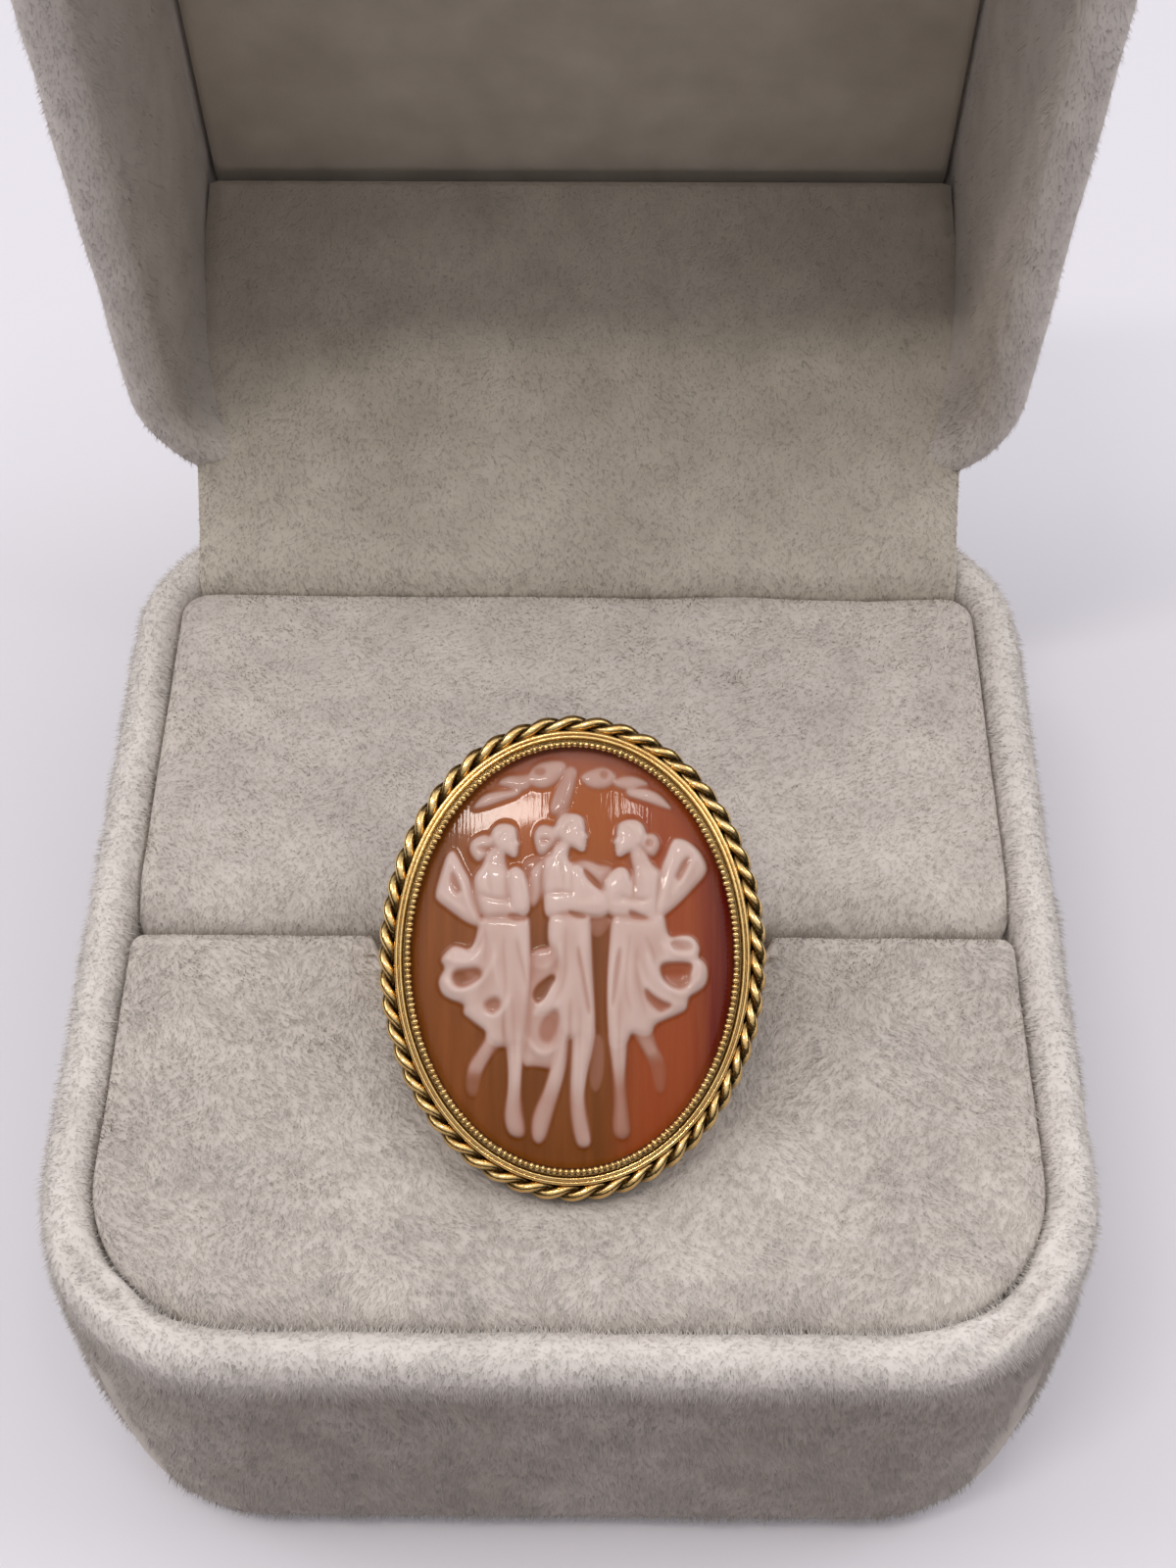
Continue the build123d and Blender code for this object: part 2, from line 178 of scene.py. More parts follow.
# Soft boxes: name, place, point it faces, width, depth, watts, colour
SOFT_BOXES = [
    ("ceiling_tube_light", (-128, -141, 520), (0, 0, 20), 150, 30, 0.5, "#fff8f0"),
    ("ceiling_lamp_light", (93, -132, 520), (0, 0, 20), 26, 26, 0.06, "#fff8f0"),
    ("left_panel_light", (-400, 30, 430), (0, 0, 30), 240, 240, 0.50, "#fbfaff"),
    ("right_panel_light", (400, 30, 430), (0, 0, 30), 240, 240, 0.50, "#fbfaff"),
]
for name, place, target, width, depth, watts, colour in SOFT_BOXES:
    lamp = bpy.data.lights.new(name, "AREA")
    lamp.shape = "RECTANGLE"
    lamp.size = width * MM
    lamp.size_y = depth * MM
    lamp.energy = watts
    lamp.color = linear(colour)[:3]
    light = bpy.data.objects.new(name, lamp)
    bpy.context.scene.collection.objects.link(light)
    away = Vector(place) - Vector(target)
    away.normalize()
    across = Vector((0, 1, 0)).cross(away).normalized()
    turned = Matrix((across, away.cross(across), away)).transposed()
    light.matrix_world = Matrix.Translation(Vector(place) * MM) @ turned.to_4x4()


# Lower half of the box: a moulded tray wrapped in short grey-beige plush, which rolls over
# the rim and down inside. The skin is one profile carried round a rounded oblong.
BOX_HALF_WIDTH = 27.0
BOX_HALF_DEPTH = 29.0
BASE_HEIGHT = 23.0
CORNER_RADIUS = 9.5
FRONT_CORNER_RADIUS = 10.8
WALL = 2.6
FLOOR = 2.2
WALL_LEAN = 0.6
WALL_SWELL = 0.3
BOTTOM_ROUNDING = 3.4
RIM_RADIUS = WALL / 2
SKIN_WAVES = (0.06, 0.03)
RIM_WAVES = 0.08
CORNER_WAVES = (0.22, 0.20)
CORNER_PLACE = (22.0, -25.0)
CORNER_SPREAD = (7.0, 5.0)
TUCK_PLACE = (21.8, -25.7)
TUCK_WAY = (0.755, 0.656)
TUCK_DEPTH = 0.45
TUCK_RIDGE = 0.25
STRAIGHT_STEPS = 50
CORNER_STEPS = 20
PILE_LENGTH = 0.50
PILE_WIDTH = 0.05
PILE_SINK = 0.03
PILE_SIZE_SPREAD = 0.25
PILE_STRAY = 0.25
PILE_SWIRLS = (0.6, 0.4)
PILE_LEAN = 52
LEAN_PATCHES = 12
LEAN_SPREAD = 9
SHADE_STRAY = 0.16
SHADE_LEAN = 0.18
HAIR_ROOT_TONE = 0.26
HAIR_TIP_TONE = 0.90
HAIR_TONE_SPREAD = 0.08
RIM_BAND = 2.5
BASE_RIM_SHARE = 1.8
CUSHIONED_HALF = (24.6, 26.6)
CUSHIONED_TOP = 17
PLUSH_ROOT = "#8c817a"
PLUSH_TIP = "#e5ded7"
SKIN_TONE = 0.56
# Painted light raises the plush's tone over the rim, and painted shade lowers it down the walls.
RIM_PAINTED_LIGHT = 0.30
WALL_PAINTED_SHADE = -0.52


def oblong_loop(half_x, half_y, radii, middle_y=0.0):
    """Points and outward normals round an oblong, anticlockwise. The corners are quarter arcs
    of radii (front, back), and every side and corner has the same number of steps, so that
    loops of different sizes match point for point."""
    points = []
    normals = []
    for start, side_x, side_y in ((0, 1, 1), (90, -1, 1), (180, -1, -1), (270, 1, -1)):
        radius = radii[1] if side_y > 0 else radii[0]
        turn = np.radians(start + 90 * np.arange(CORNER_STEPS + 1) / CORNER_STEPS)
        outward = np.stack([np.cos(turn), np.sin(turn)], axis=1)
        middle = np.array([side_x * (half_x - radius), side_y * (half_y - radius)])
        points.append(middle + radius * outward)
        normals.append(outward)
    loop = []
    facing = []
    for corner in range(4):
        after = (corner + 1) % 4
        loop.append(points[corner])
        facing.append(normals[corner])
        part = (np.arange(1, STRAIGHT_STEPS) / STRAIGHT_STEPS)[:, None]
        loop.append(points[corner][-1] * (1 - part) + points[after][0] * part)
        facing.append(np.repeat(normals[corner][-1:], STRAIGHT_STEPS - 1, axis=0))
    loop = np.concatenate(loop)
    loop[:, 1] += middle_y
    return loop, np.concatenate(facing)


def closed_skin(rows):
    """A closed surface through rows of points, each row a loop. A point at the middle of the
    first row and one at the middle of the last close its two ends with fans."""
    count, columns = rows.shape[:2]
    points = np.concatenate([rows.reshape(-1, 3), rows[[0, -1]].mean(axis=1)])
    index = np.arange(count * columns).reshape(count, columns)
    after = np.roll(index, -1, axis=1)
    quads = np.stack([index[:-1], after[:-1], after[1:], index[1:]], axis=-1).reshape(-1, 4)
    start = np.full(columns, count * columns)
    near = np.stack([after[0], index[0], start], axis=1)
    far = np.stack([index[-1], after[-1], start + 1], axis=1)
    return points, [quads, np.concatenate([near, far])]


def waves(points, length, seed):
    """Gentle unevenness between about -1 and 1: a sum of sine waves of random directions and
    phases, each about one given length long, in mm."""
    chance = np.random.default_rng(seed)
    count = 16
    ways = chance.normal(size=(count, 3))
    ways /= np.linalg.norm(ways, axis=1)[:, None] * length * chance.uniform(0.7, 1.5, (count, 1))
    starts = chance.uniform(0, 2 * np.pi, count)
    return np.sin(points @ (2 * np.pi * ways).T + starts).sum(axis=1) / count**0.5 / 1.4


def tray_rows(height, seed):
    """Rows of a tray, mouth up, from the middle of its underside out, up the wall, over the
    rolled rim and down to its inner floor. The wall leans out and swells by part of a sine at
    mid-height. Sine waves make the padded rim waver, and at its two front corners a groove
    with a ridge beside it, each a bell curve across a slanting line, is the plush's tuck."""
    bend = np.radians(np.linspace(0, 84, 12))
    foot = WALL_LEAN + BOTTOM_ROUNDING - BOTTOM_ROUNDING * np.sin(bend)
    foot_z = BOTTOM_ROUNDING - BOTTOM_ROUNDING * np.cos(bend)
    rise = np.linspace(0, 1, 16)[1:-1]
    top_z = height - RIM_RADIUS
    wall_z = foot_z[-1] + (top_z - foot_z[-1]) * rise
    wall = foot[-1] * (1 - rise) - WALL_SWELL * np.sin(np.pi * rise)
    roll = np.radians(np.linspace(0, 180, 19))
    rim = RIM_RADIUS - RIM_RADIUS * np.cos(roll)
    rim_z = top_z + RIM_RADIUS * np.sin(roll)
    drop = np.linspace(0, 1, 9)[1:]
    inner = WALL + 0.8 * drop
    inner_z = top_z - (top_z - FLOOR) * drop
    insets = np.concatenate([foot, wall, rim, inner])
    heights = np.concatenate([foot_z, wall_z, rim_z, inner_z])
    radii = (FRONT_CORNER_RADIUS, CORNER_RADIUS)
    loop, facing = oblong_loop(BOX_HALF_WIDTH, BOX_HALF_DEPTH, radii)
    rows = np.empty((len(insets), len(loop), 3))
    rows[:, :, :2] = loop - insets[:, None, None] * facing
    rows[:, :, 2] = heights[:, None]
    flat = rows.reshape(-1, 3)
    soft = np.clip((flat[:, 2] - 5) / 6, 0, 1)
    give = SKIN_WAVES[0] * waves(flat, 9.0, seed) + SKIN_WAVES[1] * waves(flat, 3.2, seed + 1)
    outward = np.tile(facing, (len(insets), 1))
    flat[:, :2] += outward * (give * soft)[:, None]
    on_rim = np.clip((flat[:, 2] - top_z + 1) / 2, 0, 1)
    flat[:, 2] += on_rim * RIM_WAVES * waves(flat, 5.0, seed + 2)
    off_x = (np.abs(flat[:, 0]) - CORNER_PLACE[0]) / CORNER_SPREAD[0]
    off_y = (flat[:, 1] - CORNER_PLACE[1]) / CORNER_SPREAD[1]
    at_corner = np.exp(-(off_x**2) - off_y**2)
    flat[:, 2] += on_rim * at_corner * CORNER_WAVES[0] * waves(flat, 2.8, seed + 3)
    past_x = (np.abs(flat[:, 0]) - TUCK_PLACE[0]) * TUCK_WAY[0]
    past_tuck = past_x - (flat[:, 1] - TUCK_PLACE[1]) * TUCK_WAY[1]
    ridge = TUCK_RIDGE * np.exp(-(((past_tuck - 1.1) / 0.8) ** 2))
    tuck = ridge - TUCK_DEPTH * np.exp(-((past_tuck / 0.6) ** 2))
    flat[:, 2] += on_rim * at_corner * tuck
    pinch = on_rim * at_corner * CORNER_WAVES[1] * waves(flat, 4.0, seed + 4)
    flat[:, :2] -= outward * pinch[:, None]
    rows = flat.reshape(rows.shape)
    shrink = np.array([0.02, 0.3, 0.6, 0.85])[:, None, None]
    under = rows[0] * shrink
    under[:, :, 2] = 0
    inside = rows[-1] * shrink[::-1]
    inside[:, :, 2] = FLOOR
    return np.concatenate([under, rows, inside])


def vertex_normals(points, quads):
    """The mean of the normals of the quads round each point."""
    across = points[quads[:, 2]] - points[quads[:, 0]]
    along = points[quads[:, 3]] - points[quads[:, 1]]
    normals = np.cross(across, along)
    total = np.zeros_like(points)
    for corner in range(4):
        np.add.at(total, quads[:, corner], normals)
    return total / np.maximum(np.linalg.norm(total, axis=1), 1e-12)[:, None]


def painted_rim_light_and_wall_shade(below_rim, rim_painted_light, wall_painted_shade):
    """Change of tone painted onto the plush as light and shade: lighter over the rim, as painted
    light, and darker below it down the walls, as painted shade. Each fades in over less than 1 mm."""
    rim = np.clip((2.1 - below_rim) / 0.6, 0, 1)
    wall = np.clip((below_rim - 1.8) / 0.9, 0, 1)
    return rim_painted_light * rim + wall_painted_shade * wall


def tray_share(middles, below_rim, reach, rim_share):
    """Each quad's share of a tray's pile: all of it on the wall and rim down to some reach, more
    of it on the rim, and none on the floor or underneath."""
    outside = np.abs(middles[:, :2] / (BOX_HALF_WIDTH, BOX_HALF_DEPTH)).max(axis=1) > 0.75
    share = np.where(outside & (below_rim < reach), 1.0, 0.0)
    share[below_rim < RIM_BAND] *= rim_share
    return share


def set_tone(piece, values):
    """Keeps each point's tone, from 0 at a hair's root to 1 at its tip, as an attribute."""
    attribute = piece.data.attributes.new("tone", "FLOAT", "POINT")
    attribute.data.foreach_set("value", values.astype(np.float32))


def plush_material(name, root, tip, pile):
    """Short dense synthetic plush, matt with a bright nap at its edges. Each hair goes from a
    shaded root to a lighter tip, by the attribute tone, and brushed patches of about 3 mm and
    9 mm are lighter or darker."""
    material, tree, output = new_material(name)
    place = add_node(tree, "ShaderNodeTexCoord")
    small = add_node(
        tree,
        "ShaderNodeTexNoise",
        {"Vector": place.outputs["Object"], "Scale": 1 / (3.0 * MM), "Detail": 3.0},
    )
    large = add_node(
        tree,
        "ShaderNodeTexNoise",
        {"Vector": place.outputs["Object"], "Scale": 1 / (9.0 * MM), "Detail": 2.0},
    )
    both = add_node(
        tree,
        "ShaderNodeMath",
        {0: small.outputs["Fac"], 1: large.outputs["Fac"]},
        operation="ADD",
    )
    patch = add_node(
        tree,
        "ShaderNodeMapRange",
        {
            "Value": both.outputs["Value"],
            "From Min": 0.7,
            "From Max": 1.3,
            "To Min": -0.12,
            "To Max": 0.12,
        },
    )
    tone = add_node(tree, "ShaderNodeAttribute", attribute_name="tone")
    mixed = add_node(
        tree,
        "ShaderNodeMath",
        {0: patch.outputs["Result"], 1: tone.outputs["Fac"]},
        operation="ADD",
        use_clamp=True,
    )
    colour = add_node(
        tree,
        "ShaderNodeMix",
        {"Factor": mixed.outputs["Value"], 6: linear(root), 7: linear(tip)},
        data_type="RGBA",
    )
    fuzz = add_node(
        tree,
        "ShaderNodeTexNoise",
        {"Vector": place.outputs["Object"], "Scale": 1 / (0.16 * MM), "Detail": 2.0},
    )
    bump = add_node(
        tree,
        "ShaderNodeBump",
        {"Height": fuzz.outputs["Fac"], "Strength": 0.3, "Distance": 0.06 * MM},
    )
    shader = add_node(
        tree,
        "ShaderNodeBsdfPrincipled",
        {
            "Base Color": colour.outputs[2],
            "Roughness": 0.92,
            "Specular IOR Level": 0.2,
            "Sheen Weight": 0.35,
            "Sheen Roughness": 0.45,
            "Sheen Tint": linear("#fff6ea"),
        },
    )
    if not pile:
        tree.links.new(bump.outputs["Normal"], shader.inputs["Normal"])
    tree.links.new(shader.outputs["BSDF"], output.inputs["Surface"])
    return material


def grow_pile(name, points, quads, share, painted_light_and_shade, lay, count, seed, material, length=PILE_LENGTH):
    """Plush pile as narrow triangles rooted evenly over a skin. A hair's tip leans from the
    skin's normal along the lay, by an angle and to a side that waver in patches. share is each
    quad's density, the next argument its change of tone as painted light and shade, and lay the
    wanted direction. Hairs are shaded with the skin's own normal, turned a little at random, so
    that the nap reads as one soft surface."""
    chance = np.random.default_rng(seed)
    normals = vertex_normals(points, quads)
    corners = points[quads]
    across = corners[:, 2] - corners[:, 0]
    along = corners[:, 3] - corners[:, 1]
    areas = np.linalg.norm(np.cross(across, along), axis=1) / 2 * share
    chosen = chance.choice(len(quads), count, p=areas / areas.sum())
    u, v = chance.random((2, count, 1))
    weights = [(1 - u) * (1 - v), u * (1 - v), u * v, (1 - u) * v]
    root = sum(weight * corners[chosen, corner] for corner, weight in enumerate(weights))
    normal = sum(weight * normals[quads[chosen, corner]] for corner, weight in enumerate(weights))
    normal /= np.linalg.norm(normal, axis=1)[:, None]
    way = np.array(lay, float) + PILE_STRAY * chance.normal(size=(count, 3))
    swirl = PILE_SWIRLS[0] * waves(root, 7.0, seed + 1) + PILE_SWIRLS[1] * waves(root, 2.2, seed + 2)
    way = way + swirl[:, None] * np.cross(normal, way)
    way -= (way * normal).sum(axis=1)[:, None] * normal
    way /= np.maximum(np.linalg.norm(way, axis=1), 1e-9)[:, None]
    lean = PILE_LEAN + LEAN_PATCHES * waves(root, 3.0, seed + 3)
    lean = np.radians(lean + LEAN_SPREAD * chance.normal(size=count))
    lean = np.clip(lean, 0.2, 1.4)[:, None]
    size = length * (1 + PILE_SIZE_SPREAD * chance.normal(size=(count, 1)))
    tip = root + size * (normal * np.cos(lean) + way * np.sin(lean))
    tip[:, 2] = np.maximum(tip[:, 2], 0)
    side = np.cross(normal, way) * PILE_WIDTH / 2
    sunk = root - PILE_SINK * normal
    sunk[:, 2] = np.maximum(sunk[:, 2], 0)
    spikes = np.stack([sunk + side, sunk - side, tip], axis=1).reshape(-1, 3)
    faces = np.arange(3 * count).reshape(-1, 3)
    piece = build_piece(name, spikes, [faces], material)
    shade = normal + SHADE_STRAY * chance.normal(size=(count, 3)) + SHADE_LEAN * way
    shade /= np.linalg.norm(shade, axis=1)[:, None]
    piece.data.normals_split_custom_set_from_vertices(np.repeat(shade, 3, axis=0))
    # Each hair's tone takes its quad's painted light and shade.
    tone = painted_light_and_shade[chosen] + chance.normal(size=count) * HAIR_TONE_SPREAD
    hair = np.array([HAIR_ROOT_TONE, HAIR_ROOT_TONE, HAIR_TIP_TONE])
    set_tone(piece, (hair + tone[:, None]).ravel())
    return piece


box_skin = plush_material("box_plush_backing", PLUSH_ROOT, PLUSH_TIP, False)
box_pile = plush_material("box_plush_pile", PLUSH_ROOT, PLUSH_TIP, True)
points, faces = closed_skin(tray_rows(BASE_HEIGHT, 11))
base = build_piece("base_plush", points, faces, box_skin)
# The base's skin carries painted light on its rim and painted shade down its walls.
set_tone(base, SKIN_TONE + painted_rim_light_and_wall_shade(BASE_HEIGHT - points[:, 2], RIM_PAINTED_LIGHT, WALL_PAINTED_SHADE))
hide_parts("base_shell")
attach(base, "box")

# Its pile: none grows inside, where the cushions hide the wall
middles = points[faces[0]].mean(axis=1)
from_rim = BASE_HEIGHT - middles[:, 2]
share = tray_share(middles, from_rim, BASE_HEIGHT - 0.6, BASE_RIM_SHARE)
within = (np.abs(middles[:, :2]) < CUSHIONED_HALF).all(axis=1)
share[within & (middles[:, 2] > 2) & (middles[:, 2] < CUSHIONED_TOP)] = 0.0
# Its pile carries the same painted rim light and wall shade.
painted_light_and_shade = painted_rim_light_and_wall_shade(from_rim, RIM_PAINTED_LIGHT, WALL_PAINTED_SHADE)
nap = grow_pile("base_nap", points, faces[0], share, painted_light_and_shade, (0, -0.3, -1), 140_000, 21, box_pile)
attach(nap, "box")


# Upper half of the box: the same plush-wrapped tray, made mouth down over the base and
# turned back about the hinge pin to where it stands open.
HINGE_Y = 29.4
HINGE_Z = 23.15
LID_RIM_Z = 23.3
LID_HEIGHT = 22.0
LID_OPEN = 79.0
# Painted light on the lid's rim; its walls get no painted shade.
LID_RIM_PAINTED_LIGHT = 0.10
LID_WALL_PAINTED_SHADE = 0.0
LID_RIM_SHARE = 2.0
LID_PILE_LENGTH = 0.34


def opened(points):
    """Points of the closed lid, turned back about the hinge pin by the lid's opening."""
    turn = math.radians(LID_OPEN)
    back = points[..., 1] - HINGE_Y
    up = points[..., 2] - HINGE_Z
    moved = points.copy()
    moved[..., 1] = HINGE_Y + back * math.cos(turn) + up * math.sin(turn)
    moved[..., 2] = HINGE_Z - back * math.sin(turn) + up * math.cos(turn)
    return moved


rows = tray_rows(LID_HEIGHT, 31)
rows[:, :, 2] = LID_RIM_Z + LID_HEIGHT - rows[:, :, 2]
closed_points, faces = closed_skin(rows)
points = opened(closed_points)
lid = build_piece("lid_plush", points, faces, box_skin)
# The lid's skin and pile carry the painted light on its rim.
tone = painted_rim_light_and_wall_shade(closed_points[:, 2] - LID_RIM_Z, LID_RIM_PAINTED_LIGHT, LID_WALL_PAINTED_SHADE)
set_tone(lid, SKIN_TONE + tone)
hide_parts("lid_shell")
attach(lid, "lid")
middles = closed_points[faces[0]].mean(axis=1)
from_rim = middles[:, 2] - LID_RIM_Z
share = tray_share(middles, from_rim, LID_HEIGHT - 0.3, LID_RIM_SHARE)
quads = faces[0][:, ::-1]
painted_light_and_shade = painted_rim_light_and_wall_shade(from_rim, LID_RIM_PAINTED_LIGHT, LID_WALL_PAINTED_SHADE)
way = (0, -0.4, -1)
nap = grow_pile(
    "lid_nap", points, quads, share, painted_light_and_shade, way, 110_000, 41, box_pile, LID_PILE_LENGTH
)
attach(nap, "lid")


# Cushions: two foam blocks under taut plush, pressed side by side into the base so that the
# ring's hoop is gripped between them. They roll down at the rim and deeper at the slot.
PAD_HALF_WIDTH = 24.3
PAD_TOP = 22.7
PAD_BOTTOM = 3.0
PAD_CROWN = 0.3
SIDE_ROLL = 1.0
SIDE_DROP = 0.35
FRONT_PAD_Y = (-26.2, -3.15)
REAR_PAD_Y = (-2.45, 22.3)
CUSHION_TIP = "#e6ded5"
HOOP_MIDDLE = (-3.8, 21.35)
HOOP_LEAN = math.tan(math.radians(34.0))
HOOP_REACH = 9.9
HOOP_ROOM = 1.7
HOOP_EASE = 0.7
HOOP_BOTTOM = 12.5
HEAD_DENT = 0.95
HEAD_PLACE = -16.0
HEAD_SPREAD = (6.5, 4.5)
PAD_SHOULDER = 6.5
PAD_WAVES = (0.12, 0.05)
PAD_PILE_BOTTOM = 17.0


def rolled_edge(distance, width, drop):
    """How far a cushion's top falls at a distance in from its side: a quarter ellipse."""
    off = np.clip(1 - distance / width, 0, 1)
    return drop * (1 - np.sqrt(1 - off**2))


def pad_rows(near_y, far_y, slot_side, radii, end_fall, slot_fall, seed):
    """Rows of a cushion from the middle of its underside, up its sides, over its shoulder and in
    to the middle of its top. The top falls at its rim and its slot by quarter ellipses, it is
    dented under the ring's head, and the hoop's plane pushes both cushions apart."""
    half_y = (far_y - near_y) / 2
    middle_y = (far_y + near_y) / 2
    shoulder = PAD_SHOULDER * np.linspace(0, 1, 30)[1:] ** 1.4
    insets = np.concatenate([np.linspace(0.72, 0, 7), shoulder])
    climb = np.concatenate([np.linspace(0, 1, 7), np.ones(29)])
    stack = []
    for inset, height in zip(insets, climb):
        corners = [max(radius - inset, 0.25) for radius in radii]
        loop, _ = oblong_loop(PAD_HALF_WIDTH - inset, half_y - inset, corners, middle_y)
        stack.append(np.concatenate([loop, np.full((len(loop), 1), height)], axis=1))
    body = np.array(stack)
    middle = np.array([0, middle_y, 1])
    top = middle + (body[-1] - middle) * np.linspace(1, 0.02, 24)[1:, None, None]
    base_middle = np.array([0, middle_y, 0])
    under = base_middle + (body[0] - base_middle) * np.array([0.02, 0.5])[:, None, None]
    rows = np.concatenate([under, body, top])
    x, y, height = rows.reshape(-1, 3).T
    to_side = PAD_HALF_WIDTH - np.abs(x)
    to_end = half_y + (y - middle_y) * slot_side
    to_slot = half_y - (y - middle_y) * slot_side
    corner = radii[0] if slot_side > 0 else radii[1]
    past_side = np.clip(corner - to_side, 0, None)
    past_end = np.clip(corner - to_end, 0, None)
    past = np.hypot(past_side, past_end)
    in_corner = (past_side > 0) & (past_end > 0)
    to_rim = np.where(in_corner, corner - past, np.minimum(to_side, to_end))
    at_end = np.where(in_corner, (past_end / np.maximum(past, 1e-6)) ** 2, to_end < to_side)
    roll = SIDE_ROLL + (end_fall[0] - SIDE_ROLL) * at_end
    drop = SIDE_DROP + (end_fall[1] - SIDE_DROP) * at_end
    level = PAD_TOP - rolled_edge(to_rim, roll, drop) - rolled_edge(to_slot, *slot_fall)
    across = np.clip(1 - (x / PAD_HALF_WIDTH) ** 2, 0, 1)
    along = np.clip(1 - ((y - middle_y) / half_y) ** 2, 0, 1)
    level = level + PAD_CROWN * across * along
    dent = np.exp(-((x / HEAD_SPREAD[0]) ** 2) - ((y - HEAD_PLACE) / HEAD_SPREAD[1]) ** 2)
    level = level - HEAD_DENT * dent
    flat = np.stack([x, y, PAD_BOTTOM + (level - PAD_BOTTOM) * height], axis=1)
    uneven = PAD_WAVES[0] * waves(flat, 9.0, seed) + PAD_WAVES[1] * waves(flat, 3.0, seed + 1)
    flat[:, 2] += height**2 * uneven
    low = np.clip(flat[:, 2], HOOP_BOTTOM, None) - HOOP_MIDDLE[1]
    hoop_y = HOOP_MIDDLE[0] - low * HOOP_LEAN
    near_hoop = np.clip((HOOP_REACH + HOOP_EASE - np.abs(x)) / HOOP_EASE, 0, 1)
    over = (flat[:, 1] - hoop_y) * slot_side + HOOP_ROOM
    flat[:, 1] -= near_hoop * np.clip(over, 0, None) * slot_side
    return flat.reshape(rows.shape)


cushion_skin = plush_material("cushion_plush_backing", PLUSH_ROOT, CUSHION_TIP, False)
cushion_pile = plush_material("cushion_plush_pile", PLUSH_ROOT, CUSHION_TIP, True)
# Side, front and back, which way its slot lies, corner radii, roll and fall at its end, roll
# and fall at its slot, lay of the pile, tone raised as painted light, length of the pile, seed
PADS = [
    ("front", FRONT_PAD_Y, 1, (8.1, 1.2), (2.8, 1.3), (0.9, 0.6), (0.1, -1, 0.1), 0.07, 0.55, 51),
    ("rear", REAR_PAD_Y, -1, (1.2, 1.8), (1.6, 0.6), (4.2, 3.0), (-0.2, -1, 0.1), 0.04, 0.36, 61),
]
for side, (near_y, far_y), slot_side, radii, end_fall, slot_fall, way, tone, length, seed in PADS:
    rows = pad_rows(near_y, far_y, slot_side, radii, end_fall, slot_fall, seed)
    points, faces = closed_skin(rows)
    pad = build_piece(f"{side}_cushion", points, faces, cushion_skin)
    # Each cushion's skin and pile are made lighter by its tone: painted light.
    set_tone(pad, np.full(len(points), SKIN_TONE + tone))
    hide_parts(f"{side}_pad")
    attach(pad, "box")
    middles = points[faces[0]].mean(axis=1)
    share = np.where(middles[:, 2] > PAD_PILE_BOTTOM, 1.0, 0.0)
    painted_light_and_shade = np.full(len(middles), tone)
    name = f"{side}_cushion_nap"
    nap = grow_pile(
        name, points, faces[0], share, painted_light_and_shade, way, 100_000, seed + 3, cushion_pile, length
    )
    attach(nap, "box")


# Plush strip over the hinge: tucked down behind the rear cushion, it creases there and runs
# up in one taut slope to the lid's ceiling. Plush glued to a thin card, cut to one oblong.
STRIP_HALF_WIDTH = 23.5
STRIP_THICKNESS = 0.9
STRIP_PATH = [(23.1, 18.4), (22.75, 20.6), (22.75, 22.0), (23.4, 23.4), (25.0, 24.45), (45.0, 36.1)]
STRIP_ROWS = 80
STRIP_COLUMNS = 70
STRIP_BOW = 0.018
STRIP_WAVES = (0.22, 0.10)
UNDERSIDE_SHARE = 0.05
CREASE_Y = 23.6
CREASE_SPREAD = 1.8
LINING_ROOT = "#897e70"
LINING_TIP = "#ddd4c6"


def smooth_path(corners, count):
    """Points at equal steps along a path whose corners are cut, in three rounds, by points a
    quarter and three quarters of the way along each side."""
    path = np.array(corners, float)
    for _ in range(3):
        near = 0.75 * path[:-1] + 0.25 * path[1:]
        far = 0.25 * path[:-1] + 0.75 * path[1:]
        cut = np.stack([near, far], axis=1).reshape(-1, path.shape[1])
        path = np.concatenate([path[:1], cut, path[-1:]])
    steps = np.concatenate([[0], np.cumsum(np.linalg.norm(np.diff(path, axis=0), axis=1))])
    wanted = np.linspace(0, steps[-1], count)
    return np.stack([np.interp(wanted, steps, values) for values in path.T], axis=1)


def strip_rows():
    """Rows across the strip, each a flat loop with round edges: the path's point, plus the
    half thickness along the path's normal above and below. The strip waves a little at the
    crease and bows out at its sides between its two fixed ends."""
    path = smooth_path(STRIP_PATH, STRIP_ROWS)
    tangent = np.gradient(path, axis=0)
    tangent /= np.linalg.norm(tangent, axis=1)[:, None]
    up = np.stack([-tangent[:, 1], tangent[:, 0]], axis=1)
    part = np.linspace(0, 1, STRIP_ROWS)
    across = np.linspace(-1, 1, STRIP_COLUMNS)
    edge = np.sqrt(np.clip(1 - np.clip((np.abs(across) - 0.98) / 0.02, 0, 1) ** 2, 0, 1))
    x = np.concatenate([across, across[::-1]]) * STRIP_HALF_WIDTH
    height = np.concatenate([edge, -edge[::-1]]) * STRIP_THICKNESS / 2
    rows = np.empty((STRIP_ROWS, len(x), 3))
    bow = 1 + STRIP_BOW * np.sin(np.pi * np.clip((part - 0.25) / 0.75, 0, 1))
    rows[:, :, 0] = x * bow[:, None]
    rows[:, :, 1] = path[:, :1] + up[:, :1] * height
    rows[:, :, 2] = path[:, 1:] + up[:, 1:] * height
    flat = rows.reshape(-1, 3)
    near_crease = np.exp(-(((flat[:, 1] - CREASE_Y) / CREASE_SPREAD) ** 2))
    lengthwise = flat * (1, 0.2, 0.2)
    long_waves = STRIP_WAVES[0] * waves(lengthwise, 11.0, 71)
    flat[:, 2] += near_crease * (long_waves + STRIP_WAVES[1] * waves(lengthwise, 4.0, 72))
    return flat.reshape(rows.shape), path


